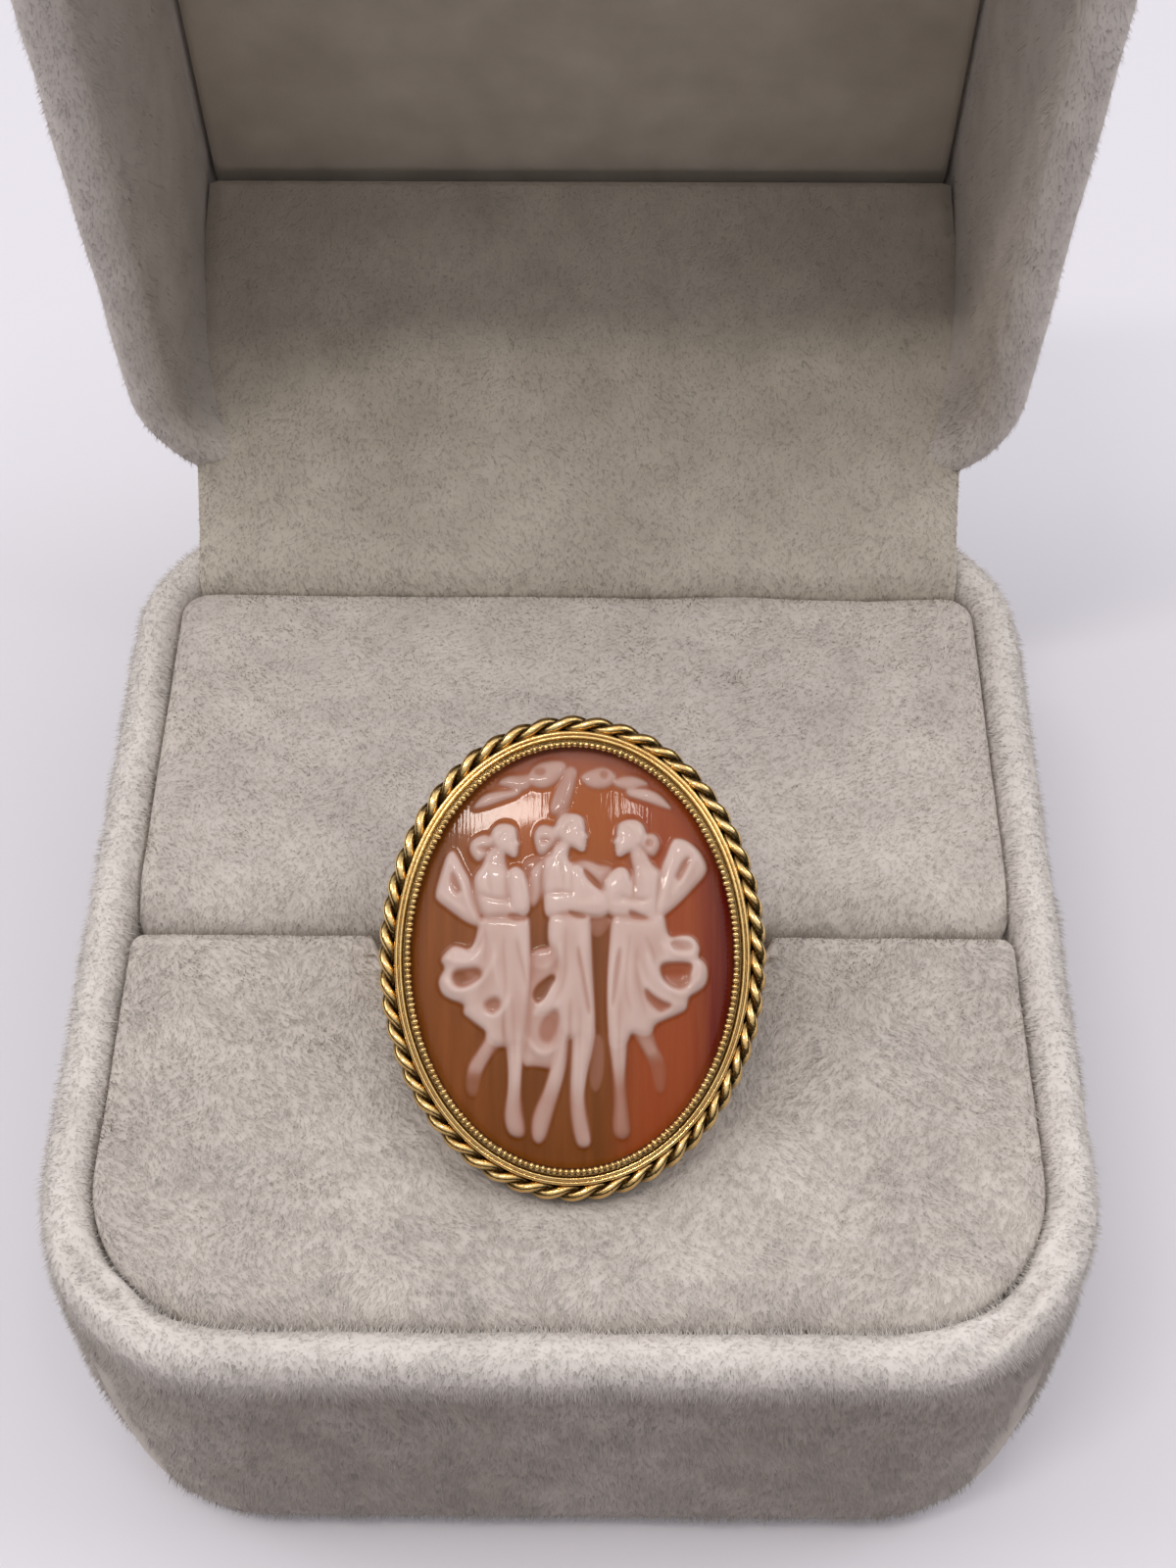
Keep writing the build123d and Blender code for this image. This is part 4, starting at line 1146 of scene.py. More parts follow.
# Forms from back to front: white left on them, rise, and corners across and along the stone
FORMS = [
    # Spray of leaves
    (0.62, 0.30, [
        (-0.35, 9.55), (0.12, 9.55), (0.10, 9.00), (-0.02, 8.40), (-0.22, 7.70), (-0.30, 7.10),
        (-1.12, 7.10), (-1.05, 7.70), (-0.80, 8.40), (-0.50, 9.10),
    ]),
    (0.62, 0.34, [
        (-0.45, 9.85), (-1.10, 9.88), (-1.80, 9.72), (-2.20, 9.35), (-2.30, 8.95), (-2.10, 8.62),
        (-1.60, 8.50), (-1.10, 8.62), (-0.70, 8.95), (-0.40, 9.40),
    ]),
    (0.64, 0.34, [
        (-2.00, 9.20), (-2.60, 9.12), (-3.20, 9.10), (-3.60, 8.95), (-3.85, 8.70), (-3.40, 8.58),
        (-2.90, 8.40), (-2.50, 8.35), (-2.15, 8.60),
    ]),
    (0.68, 0.36, [
        (-2.60, 8.40), (-3.20, 8.32), (-3.90, 8.30), (-4.50, 8.12), (-4.90, 7.75), (-5.05, 7.45),
        (-4.50, 7.55), (-3.90, 7.75), (-3.30, 7.98), (-2.80, 8.12),
    ]),
    (0.62, 0.34, [
        (0.45, 9.15), (0.90, 9.40), (1.40, 9.55), (1.90, 9.45), (2.15, 9.10), (2.05, 8.80),
        (1.65, 8.52), (1.10, 8.50), (0.70, 8.65), (0.45, 8.90),
    ]),
    (0.66, 0.34, [
        (2.00, 8.85), (2.50, 9.08), (3.00, 9.12), (3.50, 8.95), (3.85, 8.70), (3.30, 8.62),
        (2.90, 8.42), (2.50, 8.50), (2.15, 8.62),
    ]),
    (0.74, 0.36, [
        (2.65, 8.38), (3.30, 8.46), (3.90, 8.42), (4.40, 8.15), (4.75, 7.78), (5.00, 7.45),
        (4.40, 7.62), (3.80, 7.85), (3.20, 8.02), (2.80, 8.14),
    ]),
    # Thin cloth between the dancers
    (0.48, 0.20, [
        (-2.50, 4.70), (-1.90, 4.95), (-1.20, 5.10), (-0.90, 5.30), (-1.50, 4.60), (-2.30, 4.00),
    ]),
    (0.45, 0.15, [(0.95, 1.95), (1.90, 2.00), (1.70, 1.40), (1.30, 1.00), (1.00, 1.20)]),
    (0.30, 0.10, [
        (1.12, -3.90), (1.50, -4.00), (1.60, -5.00), (1.50, -6.20),
        (1.20, -6.80), (0.95, -6.20), (1.00, -5.00),
    ]),
    (0.76, 0.42, [
        (-2.00, 0.20), (-1.60, 0.35), (-1.20, 0.40), (-0.60, 0.60), (-0.50, -2.00), (-0.30, -4.00),
        (-0.60, -5.40), (-1.05, -5.55), (-1.50, -5.45), (-2.00, -5.42), (-2.38, -5.45), (-2.40, -4.60),
        (-2.20, -3.20), (-2.05, -1.80), (-1.98, -0.60),
    ]),
    # Left dancer: blown veil, neck, bodice, legs, skirt, hair knot, sleeve
    (0.86, 0.55, [
        (-6.10, 5.30), (-5.85, 5.00), (-5.55, 4.40), (-5.25, 3.90), (-5.02, 3.20), (-4.85, 2.50),
        (-4.55, 1.75), (-4.60, 1.45), (-5.30, 1.72), (-5.85, 2.10), (-6.35, 2.48), (-6.85, 2.85),
        (-6.88, 3.20), (-6.75, 3.75), (-6.55, 4.45), (-6.35, 5.05),
    ]),
    (0.88, 0.55, [
        (-4.20, 5.50), (-3.45, 5.35), (-3.42, 4.60), (-3.30, 4.20), (-4.90, 3.90), (-4.50, 4.60),
    ]),
    (0.92, 0.68, [
        (-4.95, 4.05), (-4.45, 4.55), (-3.90, 4.75), (-3.45, 4.50), (-3.10, 4.10), (-3.00, 3.00),
        (-2.60, 2.10), (-3.20, 1.90), (-4.50, 1.90), (-4.80, 2.60), (-4.95, 3.30),
    ]),
    (0.62, 0.42, [
        (-4.20, -3.70), (-4.35, -4.30), (-4.75, -4.90), (-5.08, -5.40), (-5.22, -6.00), (-5.28, -6.60),
        (-5.10, -7.00), (-4.80, -6.95), (-4.65, -6.20), (-4.45, -5.60), (-4.00, -4.85), (-3.70, -4.50),
        (-3.40, -4.20),
    ]),
    (0.84, 0.60, [
        (-3.30, -3.60), (-3.22, -4.60), (-3.12, -5.60), (-3.12, -6.60), (-3.25, -7.50), (-3.30, -8.10),
        (-3.15, -8.75), (-2.85, -8.98), (-2.42, -8.98), (-2.35, -8.60), (-2.50, -7.80), (-2.58, -7.00),
        (-2.55, -6.00), (-2.48, -5.20), (-2.38, -4.20), (-2.30, -3.60),
    ]),
    (0.88, 0.66, [
        (-4.62, 1.95), (-3.90, 2.15), (-3.00, 2.10), (-2.18, 2.05), (-2.12, 0.60), (-2.08, -0.60),
        (-2.15, -1.90), (-2.25, -3.20), (-2.38, -4.60), (-3.20, -4.50), (-3.40, -4.45), (-3.75, -4.50),
        (-4.20, -4.20), (-4.25, -3.70), (-4.70, -3.40), (-5.10, -3.10), (-5.42, -2.85), (-5.35, -2.42),
        (-5.70, -2.25), (-6.10, -2.12), (-6.50, -1.90), (-6.70, -1.35), (-6.55, -0.95), (-6.38, -0.70),
        (-6.42, -0.45), (-6.58, -0.25), (-6.40, 0.10), (-6.00, 0.48), (-5.60, 0.42), (-5.25, 0.30),
        (-5.00, 0.45), (-4.80, 0.90),
    ]),
    (0.80, 0.62, [
        (-4.30, 6.12), (-4.80, 5.98), (-5.12, 5.75), (-5.20, 5.40), (-5.05, 5.05), (-4.75, 4.72),
        (-4.45, 5.00), (-4.20, 5.30), (-4.00, 5.70),
    ]),
    (1.00, 0.85, [
        (-3.25, 4.20), (-3.00, 4.45), (-2.70, 4.45), (-2.38, 4.10), (-2.22, 3.40), (-2.12, 2.70),
        (-2.20, 2.15), (-2.60, 2.00), (-3.05, 2.30), (-3.20, 3.00),
    ]),
    # Middle dancer: raised arm, bodice, shoulder cloth, legs, skirt, hair knot, sleeve, forearm
    (0.76, 0.50, [
        (-1.00, 5.30), (-1.60, 4.75), (-2.10, 4.25), (-2.20, 3.60), (-2.10, 2.90), (-2.00, 2.45),
        (-1.75, 2.70), (-1.50, 3.30), (-1.30, 4.00), (-1.00, 4.60),
    ]),
    (0.92, 0.68, [
        (-0.70, 5.80), (-1.00, 5.30), (-1.35, 4.60), (-1.50, 3.60), (-1.40, 2.80), (-1.35, 2.20),
        (-1.15, 1.95), (0.90, 1.95), (1.85, 2.05), (1.80, 3.00),
        (1.50, 3.35), (1.00, 3.70), (0.60, 4.20),
        (0.30, 4.65), (0.00, 4.70), (-0.20, 4.75), (-0.25, 5.20), (-0.10, 5.60),
    ]),
    (0.68, 0.42, [
        (0.00, 4.68), (0.50, 4.82), (0.95, 4.72), (1.30, 4.55), (1.95, 4.50), (1.90, 4.20),
        (1.75, 3.60), (1.50, 3.35), (1.10, 3.60), (0.60, 4.10), (0.20, 4.50),
    ]),
    (0.84, 0.58, [
        (-0.10, -3.40), (-0.20, -4.60), (-0.30, -5.50), (-0.50, -6.30), (-0.72, -7.00), (-0.95, -7.80),
        (-1.15, -8.50), (-1.35, -9.10), (-1.65, -9.32), (-1.92, -9.05), (-1.95, -8.30), (-1.75, -7.60),
        (-1.42, -6.90), (-1.18, -6.20), (-1.00, -5.50), (-0.75, -4.60), (-0.60, -3.60),
    ]),
    (0.86, 0.62, [
        (0.02, -3.40), (0.05, -4.40), (0.00, -5.40), (-0.02, -6.40), (0.00, -7.30), (0.08, -8.20),
        (0.22, -9.00), (0.42, -9.45), (0.85, -9.45), (0.95, -9.15), (0.85, -8.50), (0.70, -7.80),
        (0.60, -7.00), (0.68, -6.20), (0.82, -5.50), (1.00, -4.80), (1.12, -4.00), (1.10, -3.40),
    ]),
    (0.88, 0.68, [
        (-1.15, 2.20), (-0.40, 2.20), (0.40, 2.20), (0.90, 2.20), (0.93, 1.00), (0.97, 0.00),
        (1.02, -1.00), (1.10, -2.20), (1.15, -3.30), (1.10, -4.20), (0.60, -4.20), (0.00, -4.00),
        (-0.30, -4.20), (-0.60, -3.80), (-0.75, -2.90), (-1.30, -2.90), (-1.90, -2.90), (-1.75, -2.60),
        (-1.35, -2.00), (-1.00, -1.45), (-0.65, -0.95), (-0.60, -0.30), (-0.95, 0.30), (-1.20, 0.70),
    ]),
    (0.78, 0.62, [
        (-0.60, 6.45), (-1.00, 6.50), (-1.55, 6.62), (-1.85, 6.35), (-1.95, 6.00), (-1.85, 5.50),
        (-1.70, 5.10), (-1.35, 5.15), (-1.05, 5.50), (-0.70, 5.90),
    ]),
    (1.00, 0.82, [
        (0.00, 4.50), (0.35, 4.50), (0.70, 4.00), (1.10, 3.50), (1.30, 3.20), (0.80, 2.90),
        (0.20, 2.90), (0.00, 3.50),
    ]),
    (0.98, 0.84, [
        (-1.20, 2.90), (-0.60, 3.05), (0.20, 3.00), (0.90, 2.95), (1.55, 3.20), (1.70, 2.70),
        (1.75, 2.35), (1.20, 2.25), (0.40, 2.30), (-0.30, 2.45), (-1.00, 2.35),
    ]),
    # Right dancer: blown veil, neck, bodice, legs, skirt, hair knot, sleeve, forearm
    (0.88, 0.55, [
        (5.15, 5.95), (5.60, 5.90), (6.00, 5.68), (6.40, 5.30), (6.65, 4.85), (6.75, 4.45),
        (6.60, 4.10), (6.20, 3.65), (5.70, 3.10), (5.30, 2.70), (4.90, 2.35), (4.60, 2.10),
        (4.20, 1.90), (4.10, 3.00), (4.30, 4.00), (4.55, 4.60), (4.80, 5.20), (5.00, 5.70),
    ]),
    (0.88, 0.55, [
        (2.85, 5.40), (3.50, 5.60), (3.75, 5.00), (4.10, 4.55),
        (4.45, 4.25), (3.10, 3.90), (3.02, 4.50),
    ]),
    (0.92, 0.68, [
        (3.05, 4.40), (3.60, 4.75), (4.10, 4.50), (4.45, 4.30), (4.50, 3.60), (4.35, 2.80),
        (4.30, 2.10), (3.60, 1.95), (2.60, 1.95), (2.00, 2.00), (1.70, 2.40), (1.65, 3.00),
        (2.40, 3.60), (3.00, 3.90),
    ]),
    (0.56, 0.38, [
        (2.95, -3.50), (3.35, -4.20), (3.75, -4.85), (4.00, -5.40), (4.15, -6.00), (4.30, -6.70),
        (4.60, -6.80), (4.70, -6.20), (4.68, -5.60), (4.55, -5.10), (4.25, -4.60), (4.05, -4.00),
        (3.95, -3.40), (3.40, -3.10),
    ]),
    (0.78, 0.58, [
        (1.86, -3.60), (1.92, -4.40), (2.05, -5.20), (2.15, -6.00), (2.22, -6.80), (2.22, -7.60),
        (2.15, -8.30), (2.22, -8.90), (2.60, -9.05), (2.92, -8.85), (2.85, -8.20), (2.75, -7.40),
        (2.66, -6.60), (2.64, -5.80), (2.70, -5.00), (2.75, -4.20), (2.78, -3.60),
    ]),
    (0.88, 0.66, [
        (2.00, 2.20), (3.00, 2.15), (3.90, 2.15), (4.60, 2.25),
        (4.72, 1.30), (4.95, 0.95), (5.40, 1.05),
        (5.90, 1.05), (6.20, 0.82), (6.38, 0.45), (6.32, 0.15), (6.30, -0.02), (6.55, -0.18),
        (6.76, -0.50), (6.78, -1.00), (6.65, -1.42), (6.20, -1.75), (5.85, -1.92), (5.76, -2.30),
        (5.70, -2.60), (5.20, -2.85), (4.60, -3.08), (4.10, -3.35), (4.00, -3.80), (3.60, -3.90),
        (2.95, -3.70), (2.75, -4.30), (2.00, -4.60), (1.86, -3.80), (1.80, -2.60), (1.80, -1.40),
        (1.84, -0.30), (1.90, 0.70),
    ]),
    (0.74, 0.60, [
        (3.60, 6.12), (4.00, 6.22), (4.30, 6.00), (4.38, 5.60), (4.20, 5.20), (4.02, 5.02),
        (3.70, 5.20), (3.45, 5.50), (3.40, 5.90),
    ]),
    (1.00, 0.86, [
        (2.15, 4.42), (2.60, 4.48), (2.88, 4.20), (2.98, 3.60), (2.90, 3.00), (2.30, 2.70),
        (1.75, 2.60), (1.60, 3.20), (1.68, 3.70), (1.90, 4.10),
    ]),
    (0.98, 0.84, [
        (1.70, 3.00), (2.40, 2.90), (3.20, 2.70), (3.80, 2.50), (4.20, 2.20), (3.60, 2.10),
        (2.80, 2.25), (1.80, 2.30),
    ]),
]
# Hollows cut into the forms: white left, share of the rise cut away, softness, corners
HOLLOWS = [
    (0.70, 0.3, 0.25, [(-2.00, 9.50), (-1.50, 9.55), (-1.35, 9.30), (-1.60, 9.10), (-1.95, 9.20)]),
    (0.70, 0.3, 0.25, [(1.35, 9.35), (1.70, 9.40), (1.80, 9.10), (1.55, 8.95), (1.35, 9.10)]),
    (0.72, 0.3, 0.20, [
        (-4.85, 5.50), (-4.50, 5.58), (-4.10, 5.45), (-4.15, 5.28), (-4.50, 5.22), (-4.80, 5.32),
    ]),
    (0.72, 0.3, 0.20, [(-1.68, 5.97), (-1.30, 6.00), (-1.08, 5.85), (-1.35, 5.68), (-1.66, 5.74)]),
    (0.75, 0.3, 0.20, [(3.65, 5.88), (3.95, 5.98), (4.12, 5.70), (3.90, 5.52), (3.65, 5.60)]),
    (0.75, 0.4, 0.25, [
        (-6.10, 4.30), (-5.85, 4.10), (-5.65, 3.60), (-5.55, 3.20),
        (-5.80, 3.10), (-6.10, 3.40), (-6.20, 3.90),
    ]),
    (0.65, 0.4, 0.22, [
        (-3.25, 2.10), (-2.80, 2.15), (-2.30, 2.00), (-2.25, 1.78), (-2.80, 1.75), (-3.15, 1.90),
    ]),
    (0.55, 0.6, 0.45, [
        (-5.95, -0.75), (-5.30, -0.55), (-4.75, -0.58), (-4.50, -0.90), (-4.90, -1.35), (-5.40, -1.60),
        (-5.85, -1.50), (-6.05, -1.15),
    ]),
    (0.55, 0.3, 0.20, [(-5.90, -0.85), (-5.40, -0.80), (-5.20, -1.15), (-5.50, -1.45), (-5.85, -1.35)]),
    (0.74, 0.5, 0.40, [
        (-4.45, -2.40), (-4.00, -2.05), (-3.60, -2.10), (-3.55, -2.50), (-3.85, -2.90), (-4.20, -2.80),
    ]),
    (0.40, 0.6, 0.10, [
        (0.50, 4.45), (0.80, 4.25), (1.20, 3.85), (1.50, 3.50),
        (1.42, 3.35), (1.05, 3.60), (0.65, 4.05),
    ]),
    (0.55, 0.4, 0.20, [(-0.25, 2.32), (0.15, 2.20), (0.75, 2.02), (0.60, 1.90), (0.05, 1.98)]),
    (0.20, 0.7, 0.20, [
        (-0.95, -0.85), (-0.80, -1.10), (-1.10, -1.60), (-1.40, -2.15), (-1.75, -2.32), (-1.98, -1.95),
        (-1.80, -1.50), (-1.40, -1.15),
    ]),
    (0.80, 0.4, 0.30, [
        (-1.30, -2.90), (-0.75, -2.50), (-0.60, -3.00), (-0.75, -3.80),
        (-1.10, -4.40), (-1.60, -4.20), (-1.65, -3.50),
    ]),
    (0.82, 0.4, 0.22, [
        (0.30, 0.60), (0.42, 0.10), (0.65, -0.90), (0.85, -2.00), (0.97, -2.80), (0.84, -2.85),
        (0.66, -1.90), (0.48, -0.90), (0.28, 0.00),
    ]),
    (0.82, 0.4, 0.22, [
        (2.45, 0.50), (2.40, -0.30), (2.27, -1.30), (2.10, -2.50), (1.97, -2.45), (2.04, -1.30),
        (2.16, -0.30), (2.30, 0.30),
    ]),
    (0.65, 0.4, 0.22, [
        (2.80, 2.35), (3.10, 2.30), (3.50, 2.10), (3.90, 1.95), (3.40, 1.88), (2.90, 2.00),
    ]),
    (0.78, 0.4, 0.25, [
        (4.90, 0.85), (5.50, 0.92), (6.00, 0.80), (6.15, 0.40), (5.60, 0.30), (5.05, 0.40),
    ]),
    (0.22, 0.7, 0.30, [
        (4.50, -0.30), (5.20, -0.22), (5.85, -0.25), (6.05, -0.45), (5.88, -0.90), (5.30, -1.08),
        (4.75, -1.05), (4.42, -0.70),
    ]),
    (0.62, 0.6, 0.35, [
        (4.45, -0.70), (5.85, -0.60), (6.00, -1.20), (5.60, -1.60), (5.00, -1.50), (4.60, -1.20),
    ]),
    (0.50, 0.5, 0.35, [
        (3.65, -1.50), (4.10, -1.88), (4.60, -2.18), (5.05, -2.35), (4.80, -2.62), (4.40, -2.78),
        (4.00, -2.45), (3.72, -2.00),
    ]),
    (0.75, 0.4, 0.22, [
        (5.90, 5.12), (5.52, 4.85), (5.28, 4.35), (5.12, 3.90),
        (5.40, 3.82), (5.66, 4.30), (5.88, 4.75),
    ]),
    (0.35, 0.5, 0.90, [(-6.00, -5.90), (-4.20, -5.90), (-4.20, -7.60), (-6.00, -7.60)]),
    (0.30, 0.5, 0.90, [(3.60, -5.00), (5.40, -5.00), (5.40, -7.40), (3.60, -7.40)]),
    (0.55, 0.4, 1.60, [(1.60, -6.00), (3.60, -6.00), (3.60, -9.60), (1.60, -9.60)]),
    (0.75, 0.3, 1.60, [(-3.80, -6.60), (1.40, -6.60), (1.40, -9.90), (-3.80, -9.90)]),
]
# Folds of the cloth: height of the ridge, or depth of the groove below 0, half width, path
FOLDS = [
    (0.16, 0.15, [
        (-6.45, -1.20), (-6.10, -1.72), (-5.50, -1.80), (-4.90, -1.50), (-4.40, -1.10), (-3.85, 0.00),
    ]),
    (0.14, 0.14, [(-6.45, -0.10), (-6.00, -0.25), (-5.50, -0.38), (-5.00, -0.30), (-4.70, 0.20)]),
    (-0.14, 0.08, [(-5.35, 0.35), (-4.95, 0.10), (-4.70, 0.50), (-4.45, 1.10)]),
    (0.14, 0.12, [(-4.20, -2.95), (-3.70, -2.98), (-3.30, -2.50), (-3.10, -2.00)]),
    (-0.18, 0.08, [(-2.75, 0.80), (-2.65, 0.20), (-2.45, -0.60), (-2.30, -1.40)]),
    (-0.12, 0.10, [(-3.40, 0.90), (-3.45, 0.00), (-3.30, -1.00), (-3.35, -2.20)]),
    (0.10, 0.12, [(-3.90, 0.60), (-3.92, -0.40), (-3.70, -1.40)]),
    (-0.20, 0.08, [(-3.35, -2.60), (-3.45, -3.40), (-3.35, -4.40)]),
    (-0.10, 0.08, [(-2.95, -2.20), (-2.86, -4.00), (-2.80, -6.00)]),
    (-0.10, 0.09, [(-4.40, 1.40), (-4.30, 0.60), (-4.40, -0.20)]),
    (0.14, 0.14, [(-6.05, 4.70), (-5.75, 4.00), (-5.45, 3.30), (-5.20, 2.60), (-4.90, 2.00)]),
    (0.10, 0.12, [(-6.60, 3.10), (-6.00, 2.60), (-5.40, 2.20)]),
    (-0.16, 0.12, [(-4.70, 3.15), (-4.20, 2.95), (-3.60, 2.80), (-3.20, 2.95)]),
    (-0.20, 0.08, [(-3.42, 4.50), (-3.30, 3.90), (-3.26, 3.20), (-3.10, 2.50)]),
    (-0.12, 0.10, [(-4.30, 4.30), (-4.20, 3.70), (-4.10, 3.20)]),
    (-0.18, 0.07, [(-4.60, 1.80), (-3.80, 1.95), (-3.20, 1.95)]),
    (-0.20, 0.07, [(-1.20, 2.05), (-0.40, 2.12), (0.20, 2.18), (1.00, 2.05), (1.90, 2.08)]),
    (-0.12, 0.09, [(-0.30, 1.40), (-0.35, 0.20), (-0.30, -0.80), (-0.60, -1.80), (-1.10, -2.60)]),
    (0.14, 0.12, [(-0.62, 0.60), (-0.58, -0.40), (-0.88, -1.30), (-1.40, -2.20), (-1.90, -2.90)]),
    (-0.18, 0.09, [(-0.05, -2.20), (-0.10, -3.40), (-0.12, -4.80), (-0.12, -6.00)]),
    (0.18, 0.15, [(-2.15, -4.20), (-1.75, -4.75), (-1.20, -4.88), (-0.80, -4.50)]),
    (-0.10, 0.07, [(0.45, -2.60), (0.40, -5.00), (0.32, -7.00)]),
    (0.10, 0.12, [(-1.90, -0.40), (-1.50, -0.60), (-1.05, -0.40), (-0.80, 0.10)]),
    (-0.16, 0.11, [(-1.40, 3.15), (-0.60, 3.25), (0.00, 3.20)]),
    (-0.14, 0.09, [(-0.70, 5.00), (-0.45, 4.20), (-0.40, 3.50)]),
    (-0.20, 0.08, [(-1.42, 4.80), (-1.58, 3.90), (-1.48, 3.10)]),
    (-0.16, 0.08, [(0.00, 4.60), (-0.02, 3.90), (0.05, 3.20)]),
    (0.16, 0.15, [(3.80, 0.10), (4.10, -0.90), (4.70, -1.50), (5.40, -1.88), (5.85, -1.82)]),
    (0.14, 0.14, [(3.30, -0.30), (3.60, -1.30), (4.20, -2.02), (5.30, -2.40)]),
    (0.14, 0.14, [(4.50, 0.70), (5.00, 0.20), (5.70, 0.06), (6.25, 0.02)]),
    (0.14, 0.13, [(6.20, -0.20), (6.45, -0.60), (6.40, -1.10), (6.00, -1.50)]),
    (-0.12, 0.10, [(3.70, 1.00), (4.05, 0.30), (4.15, -0.30)]),
    (-0.12, 0.09, [(2.90, 1.10), (2.75, -0.40), (2.65, -1.60), (2.95, -2.70)]),
    (-0.10, 0.09, [(3.25, 0.40), (3.20, -0.80), (3.45, -1.90), (3.70, -2.80)]),
    (-0.12, 0.08, [(2.40, -2.20), (2.38, -4.00), (2.42, -6.00)]),
    (-0.16, 0.12, [(2.30, 3.10), (2.90, 2.92), (3.50, 2.82), (3.90, 2.98)]),
    (-0.20, 0.08, [(2.94, 4.40), (3.10, 3.70), (3.08, 3.00)]),
    (-0.18, 0.07, [(4.45, 4.40), (4.33, 3.40), (4.18, 2.30)]),
    (-0.16, 0.07, [(2.00, 2.02), (2.80, 1.97), (4.10, 1.85)]),
    (0.14, 0.13, [(6.10, 4.90), (5.85, 4.30), (5.50, 3.70), (5.10, 3.20)]),
    (0.12, 0.13, [(5.05, 5.20), (4.88, 4.20), (4.70, 3.40), (4.40, 2.50)]),
]


def oval_grid():
    """A square grid bent to the plate's oval: each coordinate shrinks as the other grows."""
    side = np.linspace(-1, 1, CAMEO_STEPS)
    u, v = np.meshgrid(side, side, indexing="ij")
    return u * np.sqrt(1 - v**2 / 2) * PLATE_HALF_WIDTH, v * np.sqrt(1 - u**2 / 2) * PLATE_HALF_LENGTH


def eased_outline(corners, rounds=2):
    """A closed outline whose corners are cut by quarter points, in so many rounds."""
    path = np.array(corners, float)
    for _ in range(rounds):
        after = np.roll(path, -1, axis=0)
        path = np.stack([0.75 * path + 0.25 * after, 0.25 * path + 0.75 * after], axis=1).reshape(-1, 2)
    return path


def near_sides(x, y, starts, ends):
    """Each point's distance to the nearest of a row of straight sides, and that side's number
    plus how far along it the nearest place is."""
    run = ends - starts
    to_x = x[:, None] - starts[:, 0]
    to_y = y[:, None] - starts[:, 1]
    part = np.clip((to_x * run[:, 0] + to_y * run[:, 1]) / (run**2).sum(axis=1), 0, 1)
    away = np.hypot(to_x - part * run[:, 0], to_y - part * run[:, 1])
    nearest = away.argmin(axis=1)
    row = np.arange(len(x))
    return away[row, nearest], nearest + part[row, nearest]


def depth_inside(x, y, outline):
    """Depth inside a closed outline, negative outside it: the distance to its nearest side, with
    its sign from how many sides a line to the right crosses."""
    after = np.roll(outline, -1, axis=0)
    away, _ = near_sides(x, y, outline, after)
    spans = (outline[:, 1] > y[:, None]) != (after[:, 1] > y[:, None])
    slope = (after[:, 0] - outline[:, 0]) / (after[:, 1] - outline[:, 1] + 1e-12)
    crosses = spans & (x[:, None] < outline[:, 0] + slope * (y[:, None] - outline[:, 1]))
    return np.where(crosses.sum(axis=1) % 2 == 1, away, -away)


def around(x, y, places, reach):
    """Numbers of the points within a reach of the box round some places."""
    low = places.min(axis=0) - reach
    high = places.max(axis=0) + reach
    return np.flatnonzero((x > low[0]) & (x < high[0]) & (y > low[1]) & (y < high[1]))


def softened(values, width):
    """Values on the cameo's square grid, blurred by a bell curve some grid steps wide: each wave
    in them is weakened by how short it is against that width."""
    turns = np.fft.fftfreq(CAMEO_STEPS) ** 2
    keep = np.exp(-2 * (np.pi * width) ** 2 * (turns[:, None] + turns))
    return np.fft.ifft2(np.fft.fft2(values.reshape(CAMEO_STEPS, CAMEO_STEPS)) * keep).real.ravel()


def eased_step(value):
    """A step from 0 to 1 with soft ends."""
    part = np.clip(value, 0, 1)
    return part * part * (3 - 2 * part)


